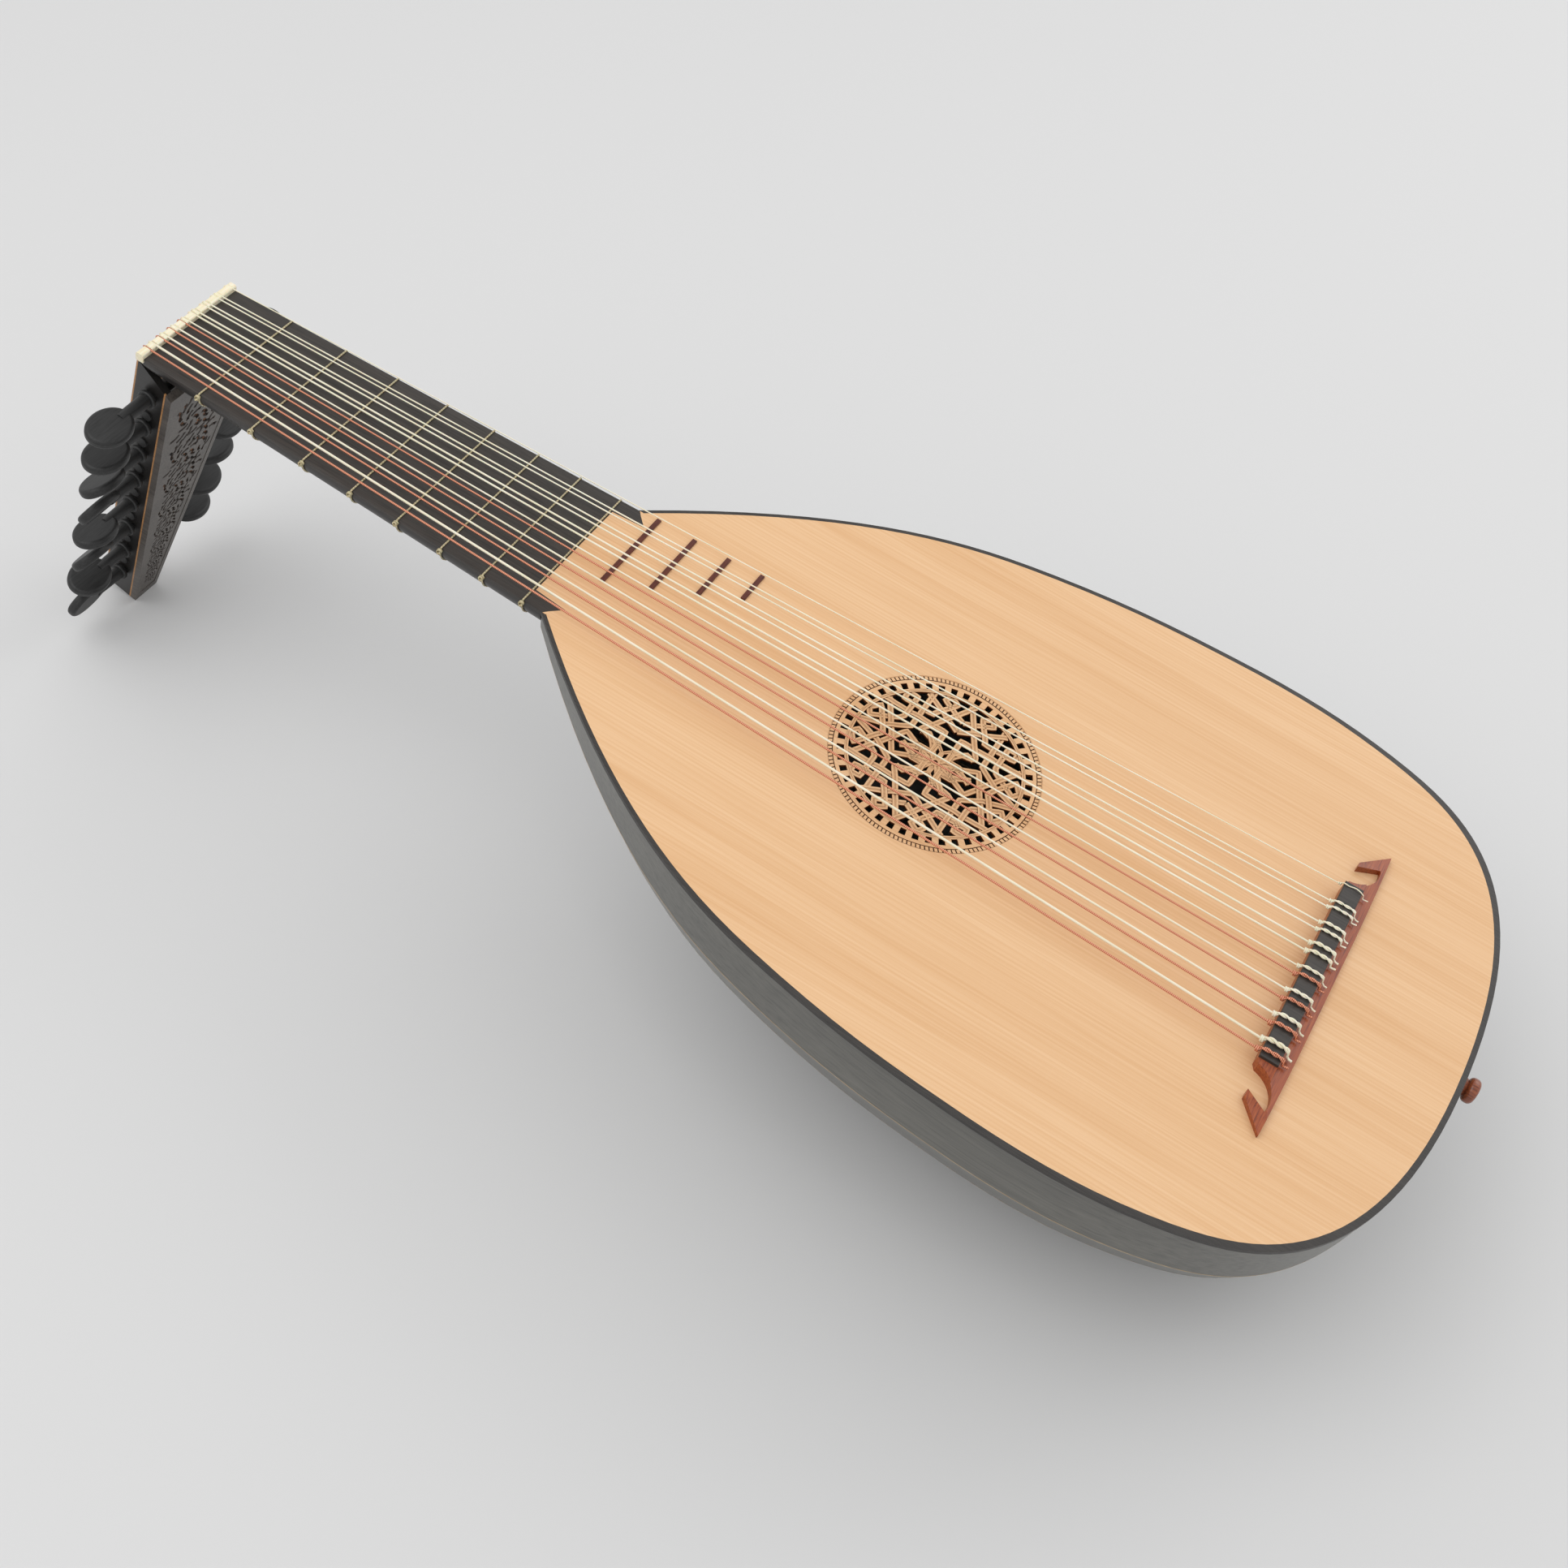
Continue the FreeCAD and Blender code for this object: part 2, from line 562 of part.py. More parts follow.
def make_pegbox():
    past = beside_joint(1)
    holes = [peg_cone(side, s, PEG_CLEARANCE) for side, s, turn in peg_places()]
    lines = []
    for side, name in ((-1, "pegbox_cheek_bass"), (1, "pegbox_cheek_treble")):
        top = pegbox_half(0.0)
        end = pegbox_half(PEGBOX_L)
        corners = [(0.0, side * top), (PEGBOX_L, side * end), (PEGBOX_L, side * (end - CHEEK_T)),
                   (0.0, side * (top - CHEEK_T))]
        cheek = pegbox_prism(corners, 0.0, CHEEK_DEPTH).cut(past)
        for n0 in (0.0, CHEEK_DEPTH - STRINGING):
            line = strip(side, n0, n0 + STRINGING).cut(past)
            cheek = cheek.cut(line)
            lines.append(as_solid(line))
        for hole in holes:
            cheek = cheek.cut(hole)
        solids[name] = as_solid(cheek)
    solids["pegbox_stringing"] = Part.Compound(lines)

    top = pegbox_half(0.0)
    end = pegbox_half(PEGBOX_L)
    back = pegbox_prism([(0.0, -top), (PEGBOX_L, -end), (PEGBOX_L, end), (0.0, top)],
                        CHEEK_DEPTH, CHEEK_DEPTH + BACK_T).cut(past)
    s0 = JOINT_S + BACK_MARGIN + 4.0
    s1 = PEGBOX_L - BACK_MARGIN - 2.0
    rim0 = pegbox_half(s0) - BACK_MARGIN
    rim1 = pegbox_half(s1) - BACK_MARGIN
    panel = pegbox_prism([(s0, -rim0), (s1, -rim1), (s1, rim1), (s0, rim0)],
                         CHEEK_DEPTH + BACK_T - BACK_RECESS, CHEEK_DEPTH + BACK_T + 5.0)
    solids["pegbox_back"] = as_solid(back.cut(panel))
    s2 = PEGBOX_L - END_BLOCK_L
    in2 = pegbox_half(s2) - CHEEK_T
    in3 = end - CHEEK_T
    solids["pegbox_end_block"] = pegbox_prism([(s2, -in2), (PEGBOX_L, -in3), (PEGBOX_L, in3), (s2, in2)],
                                              0.0, CHEEK_DEPTH)


def make_pegs():
    for number, (side, s, turn) in enumerate(peg_places(), start=1):
        half = pegbox_half(s)
        out = V(0, side, 0)
        collar_at = pegbox_point(s, PEG_DEPTH, side * (half + COLLAR_GAP))
        shaft = peg_cone(side, s, 0.0)
        collar = Part.makeCylinder(COLLAR_R, COLLAR_L, collar_at, out)
        rims = [e for e in collar.Edges if len(e.Vertexes) == 1 and e.Closed]
        collar = collar.makeFillet(0.9, rims[:2])
        shank = Part.makeCone(SHANK_R, SHANK_R - 0.5, COLLAR_L + SHANK_L + 6.0, collar_at, out)
        middle = collar_at + out * (COLLAR_L + SHANK_L + HEAD_L / 2.0)
        # the head is an oval in the plane of Y and X, flat across Z, then turned about the peg
        oval = Part.Ellipse(V(0, HEAD_L / 2.0, 0), V(HEAD_W / 2.0, 0, 0), V(0, 0, 0))
        face = Part.Face(Part.Wire([oval.toShape()]))
        face.translate(V(0, 0, -HEAD_T / 2.0))
        head = face.extrude(V(0, 0, HEAD_T))
        head = head.makeFillet(HEAD_EDGE, [e for e in head.Edges if e.Closed])
        head.rotate(V(0, 0, 0), Y_AXIS, turn)
        head.translate(middle)
        peg = shaft.fuse([collar, shank, head])
        solids["peg_%02d" % number] = as_solid(peg)


# ---- bridge ----------------------------------------------------------------------------------

def make_bridge():
    front = BRIDGE_FRONT_X
    back = front + BRIDGE_W
    tip_x = back - 0.9
    half = BRIDGE_HALF
    arm = half - 11.3           # where the arm is thinnest and the hook turns back
    hook_x = front + 2.4
    quarter = [
        V(front, CAP_HALF, 0), V(front + 1.6, CAP_HALF + 2.6, 0),
    ]
    throat = Part.Arc(quarter[1], V(front + 9.0, CAP_HALF + 6.6, 0), V(back - 2.9, arm, 0))
    shape = []
    for side in (1, -1):
        edges = [
            Part.makeLine(V(front, 0, 0), quarter[0]),
            Part.makeLine(quarter[0], quarter[1]),
            throat.toShape(),
            Part.makeLine(V(back - 2.9, arm, 0), V(hook_x, half - 16.6, 0)),
            Part.makeLine(V(hook_x, half - 16.6, 0), V(hook_x, half - 13.4, 0)),
            Part.makeLine(V(hook_x, half - 13.4, 0), V(tip_x, half, 0)),
            Part.Arc(V(tip_x, half, 0), V(back - 0.15, half * 0.55, 0), V(back, 0, 0)).toShape(),
            Part.makeLine(V(back, 0, 0), V(front, 0, 0)),
        ]
        face = Part.Face(Part.Wire(edges))
        if side < 0:
            face = face.mirror(V(0, 0, 0), Y_AXIS)
        shape.append(face.extrude(V(0, 0, BRIDGE_H)))
    plan = shape[0].fuse(shape[1]).removeSplitter()

    # how high the wood is along the bridge, from tip to tip
    ridge = [(half, TIP_H), (arm, ARM_H), (CAP_HALF + 5.0, BRIDGE_H - 1.0), (CAP_HALF, BRIDGE_H)]
    outline = [V(front - 5.0, y, z) for y, z in ridge] + [V(front - 5.0, -y, z) for y, z in ridge[::-1]]
    outline = [V(front - 5.0, half, 0)] + outline + [V(front - 5.0, -half, 0)]
    along = prism(outline, V(BRIDGE_W + 10.0, 0, 0))

    # the section from front to back: full height under the cap, then the ledge
    section = [V(front, 0, 0), V(front, 0, BRIDGE_H), V(front + CAP_W, 0, BRIDGE_H),
               V(front + CAP_W + 0.4, 0, LEDGE_H), V(back, 0, LEDGE_H - 1.4), V(back, 0, 0)]
    section = [p - V(0, half, 0) for p in section]
    across = prism(section, V(0, 2.0 * half, 0))
    solids["bridge"] = as_solid(plan.common(along).common(across))
    cap = box(front, front + CAP_W, -CAP_HALF, CAP_HALF, BRIDGE_H, BRIDGE_H + CAP_T)
    rims = [e for e in cap.Edges if abs(e.CenterOfMass.z - BRIDGE_H - CAP_T) < 0.01]
    solids["bridge_cap"] = cap.makeFillet(0.5, rims)


# ---- strings ---------------------------------------------------------------------------------

def string_routes():
    """For each string, its three points, bridge, bend behind the nut and peg, and its radius."""
    places = peg_places()
    bass = places[:BASS_PEGS]
    treble = places[BASS_PEGS:]
    routes = []
    for i, (course, diameter, y_nut, y_bridge) in enumerate(STRINGS):
        side, s, turn = treble[i] if i < TREBLE_PEGS else bass[len(STRINGS) - 1 - i]
        radius = diameter / 2.0
        start = V(BRIDGE_FRONT_X - STRING_FRONT_GAP, y_bridge, STRING_Z_BRIDGE)
        reach = (NUT_W + STRING_BEHIND_NUT) / STRING_LENGTH
        rise = STRING_Z_BRIDGE - STRING_Z_NUT
        y_bend = y_nut - (y_bridge - y_nut) * reach
        bend = V(-NUT_W - STRING_BEHIND_NUT, y_bend, STRING_Z_NUT - rise * reach)
        depth = PEG_DEPTH - PEG_R_HEAD_END - radius - STRING_PEG_GAP
        end = pegbox_point(s, depth, y_nut * STRING_GATHER)
        routes.append(((start, bend, end), radius))
    return routes


def bent_tube(points, bend_radius, radius):
    """A round string along two straight runs joined by a tangent arc."""
    start, corner, end = points
    back = start - corner
    forth = end - corner
    back.normalize()
    forth.normalize()
    half_turn = (math.pi - back.getAngle(forth)) / 2.0
    cut = bend_radius * math.tan(half_turn)
    first = corner + back * cut
    last = corner + forth * cut
    middle = back + forth
    middle.normalize()
    centre = corner + middle * (bend_radius / math.cos(half_turn))
    arc = Part.Arc(first, centre - middle * bend_radius, last)
    path = Part.Wire([Part.makeLine(start, first), arc.toShape(), Part.makeLine(last, end)])
    ring = Part.Wire([Part.Circle(start, back, radius).toShape()])
    return path.makePipeShell([ring], True, True), path.Length


def make_strings():
    tubes = {}
    for (route, radius), row in zip(string_routes(), STRINGS):
        tube, length = bent_tube(route, STRING_BEND_R, radius)
        share = tube.Volume / (math.pi * radius ** 2 * length)
        print("string of course %d: %.1f mm long, volume share %.4f" % (row[0], length, share))
        tubes.setdefault(row[0], []).append(tube)
    for course, members in tubes.items():
        solids["course_%d" % course] = members[0] if len(members) == 1 else Part.Compound(members)


def make_button():
    x0 = TAIL_X
    x1 = TAIL_X + BUTTON_NECK_L
    x2 = x1 + BUTTON_HEAD_L
    stem = button_bore(BUTTON_STEM_R, TAIL_X - BUTTON_STEM_IN, x0)
    head = Part.makeCylinder(BUTTON_HEAD_R, x2 - x1, V(x1, 0, BUTTON_Z), X_AXIS)
    rims = [e for e in head.Edges if e.Closed and len(e.Vertexes) == 1]
    head = head.makeFillet(BUTTON_HEAD_L * 0.42, rims)
    foot = Part.makeCone(BUTTON_FOOT_R, BUTTON_NECK_R, x1 - x0, V(x0, 0, BUTTON_Z), X_AXIS)
    solids["end_button"] = as_solid(stem.fuse([head, foot]).removeSplitter())


# ---- laying the lute on its back -------------------------------------------------------------

def resting_turn():
    """The turn about Y, in degrees, that brings pegbox end and bowl to one level."""
    foot = pegbox_point(PEGBOX_L, CHEEK_DEPTH + BACK_T)
    keel_index = RIB_COUNT // 2
    keel = (seam(keel_index) + seam(keel_index + 1)) * 0.5
    share = -keel.z
    edge = spline_edge([V(x, 0, -BOARD_T - r) for x, r in outline_poles(share, EDGING_OVERHANG)])
    slopes = [math.atan2(p.z - foot.z, p.x - foot.x) for p in edge.discretize(400)]
    return math.degrees(min(slopes))


def lay_down():
    turn = resting_turn()
    for shape in solids.values():
        shape.rotate(V(0, 0, 0), Y_AXIS, turn)
    whole = FreeCAD.BoundBox()
    for shape in solids.values():
        whole.add(shape.optimalBoundingBox(False, False))
    shift = V(-whole.Center.x, -whole.Center.y, -whole.ZMin)
    for shape in solids.values():
        shape.translate(shift)
    size = (whole.XLength, whole.YLength, whole.ZLength)
    print("turn %.4f deg, shift %.3f %.3f %.3f" % (turn, shift.x, shift.y, shift.z))
    print("box %.2f x %.2f x %.2f mm" % size)


make_bowl()
make_top()
make_neck()
make_pegbox()
make_pegs()
make_bridge()
make_strings()
make_button()
lay_down()
for name, shape in sorted(solids.items()):
    pieces = len(shape.Solids)
    print("%-22s solids %2d volume %10.1f valid %s" % (name, pieces, shape.Volume, shape.isValid()))
    shape.exportStep("parts/%s.step" % name)
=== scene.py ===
# %% [markdown]
# # An eight-course lute
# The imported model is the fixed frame: every piece made here is placed on it and rides on one of
# its bodies. The lute rests on its bowl and the end of its pegbox, on a pale studio floor.

# %% Load the frame
import json
import math

import bpy
from mathutils import Matrix, Vector


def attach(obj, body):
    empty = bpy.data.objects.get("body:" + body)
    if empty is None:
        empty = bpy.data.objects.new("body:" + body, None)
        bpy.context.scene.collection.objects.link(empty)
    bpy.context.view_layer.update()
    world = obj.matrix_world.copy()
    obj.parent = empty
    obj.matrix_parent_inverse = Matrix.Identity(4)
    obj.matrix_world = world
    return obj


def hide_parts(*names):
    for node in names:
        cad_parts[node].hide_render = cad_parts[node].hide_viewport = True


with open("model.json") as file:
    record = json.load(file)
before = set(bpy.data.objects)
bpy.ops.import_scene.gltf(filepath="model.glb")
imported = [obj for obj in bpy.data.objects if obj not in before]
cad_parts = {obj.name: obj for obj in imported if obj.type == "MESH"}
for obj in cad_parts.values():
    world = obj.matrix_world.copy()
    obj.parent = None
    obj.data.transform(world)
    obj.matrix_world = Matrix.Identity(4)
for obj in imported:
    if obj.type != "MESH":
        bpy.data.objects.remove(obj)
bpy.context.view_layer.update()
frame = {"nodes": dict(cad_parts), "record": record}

scene = bpy.context.scene
scene.view_settings.view_transform = "Standard"

# %% [markdown]
# ## The maker's frame
# A lute is set out from its nut: x runs down the strings, y to the treble side and z up from the
# soundboard. The lying lute is that drawing turned about Y and lifted. The end button's mount
# gives both, so that one matrix takes maker's millimetres to the frame's metres.

# %% From maker's millimetres to the frame
MM = 0.001
BUTTON_MOUNT = Vector((685.56, 0.0, -8.4))     # the mount's place, in the maker's frame
button = next(m for m in frame["record"]["mounts"] if m["name"] == "strap_button")
LEAN = math.atan2(-button["axis"][2], button["axis"][0])
TURN = Matrix.Rotation(LEAN, 4, "Y")
ORIGIN = Vector(button["pos_m"]) - TURN @ (BUTTON_MOUNT * MM)
LUTE = Matrix.Translation(ORIGIN) @ TURN @ Matrix.Scale(MM, 4)
print("lean %.3f degrees, nut at" % math.degrees(LEAN), [round(c, 4) for c in ORIGIN])

# %% [markdown]
# ## Camera
# A long-ish lens stands above the bass side near the bridge and looks down across the strings
# to the pegbox, as a player sees the lute laid on a table.

# %% Camera
CAMERA_PLACE = Vector((514.03, -591.27, 704.29))
CAMERA_RIGHT = Vector((0.84716875, 0.49190643, 0.20083121))
CAMERA_UP = Vector((-0.50627756, 0.63266382, 0.58602008))
camera = bpy.data.objects.new("camera", bpy.data.cameras.new("camera"))
scene.collection.objects.link(camera)
camera.data.sensor_width = 36.0
camera.data.lens = 47.12
camera.data.clip_end = 20.0
axes = Matrix((CAMERA_RIGHT, CAMERA_UP, CAMERA_RIGHT.cross(CAMERA_UP))).transposed().to_4x4()
camera.matrix_world = Matrix.Translation(LUTE @ CAMERA_PLACE) @ TURN @ axes
scene.camera = camera
print("camera at", [round(c, 3) for c in camera.matrix_world.translation])

# %% [markdown]
# ## Helpers
# A material or a geometry tree is a list of nodes with a few settings and links, so one small
# function adds a node of either kind. Colours are written as the eye sees them, in sRGB hex,
# and turned to the linear values that light is reckoned in.

# %% Node, colour and material helpers
def linear(code):
    """(r, g, b, 1) in linear light from an sRGB hex code."""
    parts = [int(code[i:i + 2], 16) / 255.0 for i in (0, 2, 4)]
    return [p / 12.92 if p <= 0.04045 else ((p + 0.055) / 1.055) ** 2.4 for p in parts] + [1.0]


def add(tree, kind, inputs=None, stops=(), **settings):
    """Adds a node: settings are its own properties, inputs are values or other nodes' sockets,
    and stops are the places and hex colours of a colour ramp."""
    made = tree.nodes.new(kind)
    for key, value in settings.items():
        setattr(made, key, value)
    for socket, value in (inputs or {}).items():
        if isinstance(value, bpy.types.NodeSocket):
            tree.links.new(value, made.inputs[socket])
        else:
            made.inputs[socket].default_value = value
    for place, code in stops[2:]:
        made.color_ramp.elements.new(place)
    for element, (place, code) in zip(made.color_ramp.elements if stops else (), stops):
        element.position = place
        element.color = linear(code)
    return made


def new_material(name, roughness, **shader):
    """A material with its shader and output: returns the material, its tree and the shader."""
    material = bpy.data.materials.new(name)
    material.use_nodes = True
    tree = material.node_tree
    tree.nodes.clear()
    surface = add(tree, "ShaderNodeBsdfPrincipled", {"Roughness": roughness})
    for key, value in shader.items():
        surface.inputs[key.replace("_", " ")].default_value = value
    add(tree, "ShaderNodeOutputMaterial", {"Surface": surface.outputs[0]})
    return material, tree, surface


def maker_mm(tree, stretch=(1.0, 1.0, 1.0), turn=(0.0, 0.0, 0.0)):
    """Object coordinates in maker's millimetres, then turned and squeezed to suit a grain."""
    place = add(tree, "ShaderNodeTexCoord").outputs["Object"]
    shift = TURN.inverted() @ (ORIGIN * -1.0 / MM)
    upright = add(tree, "ShaderNodeMapping", {"Vector": place, "Scale": (1.0 / MM,) * 3,
                                              "Rotation": (0.0, -LEAN, 0.0), "Location": shift})
    return add(tree, "ShaderNodeMapping", {"Vector": upright.outputs[0], "Scale": stretch,
                                           "Rotation": turn}).outputs[0]


WAVE_PERIOD = 0.314                            # a wave texture's period at scale 1


# %% [markdown]
# ## Soundboard spruce
# The board is two book-matched halves of spruce split on the quarter: fine straight growth
# rings, closest at the centre joint, with pale silk across them. It is sealed thinly and hardly
# shines. Rings are a band pattern across the board, bent a little by long noise.

# %% Spruce
RING_MM = 1.9                                  # ring spacing, drawn a little wider than life


def make_spruce(name, light, dark, ring):
    """Two halves mirrored about the centre joint; ring is the colour of the late wood."""
    material, tree, surface = new_material(name, 0.5, Specular_IOR_Level=0.35, Coat_Weight=0.06,
                                           Coat_Roughness=0.35)
    split = add(tree, "ShaderNodeSeparateXYZ", {0: maker_mm(tree)}).outputs
    mirrored = add(tree, "ShaderNodeMath", {0: split[1]}, operation="ABSOLUTE").outputs[0]
    halves = add(tree, "ShaderNodeCombineXYZ", {0: split[0], 1: mirrored, 2: split[2]}).outputs[0]
    along = add(tree, "ShaderNodeMapping", {"Vector": halves,
                                            "Scale": (0.015, 1.0, 1.0)}).outputs[0]
    drift = add(tree, "ShaderNodeTexNoise", {"Vector": along, "Scale": 1.0 / 12.0,
                                             "Detail": 1.0}).outputs[0]
    push = add(tree, "ShaderNodeMath", {0: drift, 1: 4.0}, operation="MULTIPLY").outputs[0]
    shift = add(tree, "ShaderNodeCombineXYZ", {1: push}).outputs[0]
    bent = add(tree, "ShaderNodeVectorMath", {0: halves, 1: shift}, operation="ADD").outputs[0]
    rings = add(tree, "ShaderNodeTexWave", {"Vector": bent, "Scale": WAVE_PERIOD / RING_MM},
                wave_type="BANDS", bands_direction="Y", wave_profile="SAW").outputs[1]
    late = add(tree, "ShaderNodeValToRGB", {"Fac": rings},
               ((0.0, "000000"), (0.5, "101010"), (0.9, "6a6a6a"), (1.0, "000000"))).outputs[0]
    patches = add(tree, "ShaderNodeTexNoise", {"Vector": along, "Scale": 1.0 / 22.0,
                                               "Detail": 3.0}).outputs[0]
    tone = add(tree, "ShaderNodeValToRGB", {"Fac": patches},
               ((0.32, dark), (0.55, light))).outputs[0]
    streak = add(tree, "ShaderNodeTexNoise", {"Vector": along, "Scale": 0.8,
                                              "Detail": 3.0}).outputs[0]
    fine = add(tree, "ShaderNodeValToRGB", {"Fac": streak},
               ((0.35, "f0e4d2"), (0.65, "ffffff"))).outputs[0]
    wood = add(tree, "ShaderNodeMix", {0: 0.5, 6: tone, 7: fine}, data_type="RGBA",
               blend_type="MULTIPLY").outputs[2]
    ringed = add(tree, "ShaderNodeMix", {0: late, 6: wood, 7: linear(ring)},
                 data_type="RGBA").outputs[2]
    crosswise = add(tree, "ShaderNodeMapping", {"Vector": halves,
                                                "Scale": (1.0, 0.12, 1.0)}).outputs[0]
    flecks = add(tree, "ShaderNodeTexNoise", {"Vector": crosswise, "Scale": 0.7,
                                              "Detail": 2.0}).outputs[0]
    silk = add(tree, "ShaderNodeValToRGB", {"Fac": flecks},
               ((0.55, "000000"), (0.8, "262626"))).outputs[0]
    wood = add(tree, "ShaderNodeMix", {0: silk, 6: ringed, 7: linear("fff0d8")},
               data_type="RGBA").outputs[2]
    tree.links.new(wood, surface.inputs["Base Color"])
    relief = add(tree, "ShaderNodeBump", {"Height": late, "Distance": 0.02 * MM, "Strength": 1.0})
    tree.links.new(relief.outputs[0], surface.inputs["Normal"])
    return material, tree, surface


spruce = make_spruce("spruce_sealed", "ecc397", "e4b788", "cd9b6b")[0]
print("spruce rings every", RING_MM, "mm")


# %% [markdown]
# ## Plain woods
# The other woods share one make-up, since planed wood differs mostly in its colour, the width
# of its grain and how far its pores are drawn out. Long pores are stretched noise, and a
# wider noise clouds the colour.

# %% Planed woods
def make_wood(name, colours, roughness, grain_mm=1.2, stretch=(0.04, 1.0, 1.0),
              turn=(0.0, 0.0, 0.0), relief=0.02, **shader):
    """colours are the pore, the body and the light streak."""
    material, tree, surface = new_material(name, roughness, **shader)
    place = maker_mm(tree, stretch, turn)
    pores = add(tree, "ShaderNodeTexNoise", {"Vector": place, "Scale": 1.0 / grain_mm,
                                             "Detail": 4.0, "Distortion": 0.4}).outputs[0]
    cloud = add(tree, "ShaderNodeTexNoise", {"Vector": place, "Scale": 0.07 / grain_mm,
                                             "Detail": 3.0}).outputs[0]
    wood = add(tree, "ShaderNodeValToRGB", {"Fac": pores},
               tuple(zip((0.28, 0.45, 0.72), colours))).outputs[0]
    shade = add(tree, "ShaderNodeValToRGB", {"Fac": cloud},
                ((0.3, "d8d8d8"), (0.7, "ffffff"))).outputs[0]
    colour = add(tree, "ShaderNodeMix", {0: 0.8, 6: wood, 7: shade}, data_type="RGBA",
                 blend_type="MULTIPLY").outputs[2]
    tree.links.new(colour, surface.inputs["Base Color"])
    raised = add(tree, "ShaderNodeBump", {"Height": pores, "Distance": relief * MM,
                                          "Strength": 1.0})
    tree.links.new(raised.outputs[0], surface.inputs["Normal"])
    return material


# black-stained pear on neck, edging and fingerboard: close pores, a soft satin
black_board = make_wood("ebonised_pear_satin", ("26221f", "38332f", "453f3a"), 0.48, 0.9)
black_edge = make_wood("ebonised_edging", ("24211f", "322e2b", "3d3935"), 0.42, 0.7)
neck_black = make_wood("ebonised_neck_rubbed", ("181514", "231f1d", "322d2a"), 0.38, 1.1)
# dark grey-stained ribs, finely scraped along their length and rubbed to a sheen
rib_grey = make_wood("stained_rib_scraped", ("413f39", "55534c", "64625a"), 0.34, 1.6,
                     Coat_Weight=0.25, Coat_Roughness=0.28)
spacer_pale = make_wood("maple_spacer", ("a58a66", "bfa27c", "d2b994"), 0.5, 0.6)
inside_pale = make_wood("bare_spruce_inside", ("9c7a55", "c19a6c", "d8b588"), 0.8, 1.4)
red_plum = make_wood("plum_bridge_polished", ("6a2a14", "98451f", "ae5a2c"), 0.36, 0.8,
                     (1.0, 0.05, 1.0), Coat_Weight=0.15, Coat_Roughness=0.2)
button_plum = make_wood("plum_button_turned", ("5a2716", "8a4426", "a55c36"), 0.3, 0.7,
                        Coat_Weight=0.3, Coat_Roughness=0.15)
PEGBOX_LEAN = math.radians(14.6)               # how far short of square to the neck it stands
LEAN_BACK = (0.0, math.radians(90.0) - PEGBOX_LEAN, 0.0)    # brings the pegbox's grain onto X
pegbox_black = make_wood("ebonised_pegbox", ("131211", "1b1918", "262321"), 0.4, 0.9,
                         (0.05, 1.0, 1.0), LEAN_BACK)
stringing_gold = make_wood("box_stringing", ("8f5f38", "b98452", "cc9a66"), 0.45, 0.5,
                           (0.08, 1.0, 1.0), LEAN_BACK)
peg_black = make_wood("ebony_peg_matt", ("141414", "212121", "2b2b2b"), 0.48, 0.8, (1.0, 0.08, 1.0))
plate_grey = make_wood("grey_stained_plate", ("443f3b", "57514c", "68615b"), 0.42, 1.0,
                       (0.05, 1.0, 1.0), LEAN_BACK)
fret_brown = make_wood("rosewood_frets", ("3d130d", "5c2519", "713524"), 0.4, 0.6, (1.0, 0.06, 1.0))
print("planed woods", len(bpy.data.materials) - 1)

# %% [markdown]
# ## Bone, gut and strings
# The nut is bleached bone with faint growth streaks. Frets are twisted gut, translucent and
# straw-coloured. Plain strings are a smooth cream polymer, and the octave basses are wound with
# copper wire, whose turns are drawn wider than life so that they can show.

# %% Bone, gut and strings
def make_bone():
    material, tree, surface = new_material("bleached_bone", 0.35, Subsurface_Weight=0.12,
                                           Subsurface_Scale=0.002)
    streaks = add(tree, "ShaderNodeTexNoise", {"Vector": maker_mm(tree, (1.0, 0.08, 1.0)),
                                               "Scale": 0.8, "Detail": 4.0}).outputs[0]
    colour = add(tree, "ShaderNodeValToRGB", {"Fac": streaks},
                 ((0.3, "ece0bb"), (0.6, "f6edd2"), (0.8, "fbf6e4"))).outputs[0]
    tree.links.new(colour, surface.inputs["Base Color"])
    relief = add(tree, "ShaderNodeBump", {"Height": streaks, "Distance": 0.015 * MM,
                                          "Strength": 1.0})
    tree.links.new(relief.outputs[0], surface.inputs["Normal"])
    return material


def make_twisted(name, colours, pitch_mm, roughness, axis="X", **shader):
    """A cord whose turns cross it: gut or a wound string."""
    material, tree, surface = new_material(name, roughness, **shader)
    turns = add(tree, "ShaderNodeTexWave", {"Vector": maker_mm(tree),
                                            "Scale": WAVE_PERIOD / pitch_mm,
                                            "Distortion": 0.6},
                wave_type="BANDS", bands_direction=axis).outputs[1]
    colour = add(tree, "ShaderNodeValToRGB", {"Fac": turns},
                 ((0.1, colours[0]), (0.7, colours[1]))).outputs[0]
    tree.links.new(colour, surface.inputs["Base Color"])
    relief = add(tree, "ShaderNodeBump", {"Height": turns, "Distance": 0.04 * MM, "Strength": 1.0})
    tree.links.new(relief.outputs[0], surface.inputs["Normal"])
    return material


def make_drawn_string():
    """Smooth drawn polymer, hardly uneven: a slow change of tone along its length."""
    material, tree, surface = new_material("drawn_polymer_string", 0.3, Subsurface_Weight=0.1,
                                           Subsurface_Scale=0.001)
    tone = add(tree, "ShaderNodeTexNoise", {"Vector": maker_mm(tree), "Scale": 0.05,
                                            "Detail": 1.0}).outputs[0]
    colour = add(tree, "ShaderNodeValToRGB", {"Fac": tone},
                 ((0.3, "ece4c8"), (0.7, "f7f1dc"))).outputs[0]
    tree.links.new(colour, surface.inputs["Base Color"])
    return material


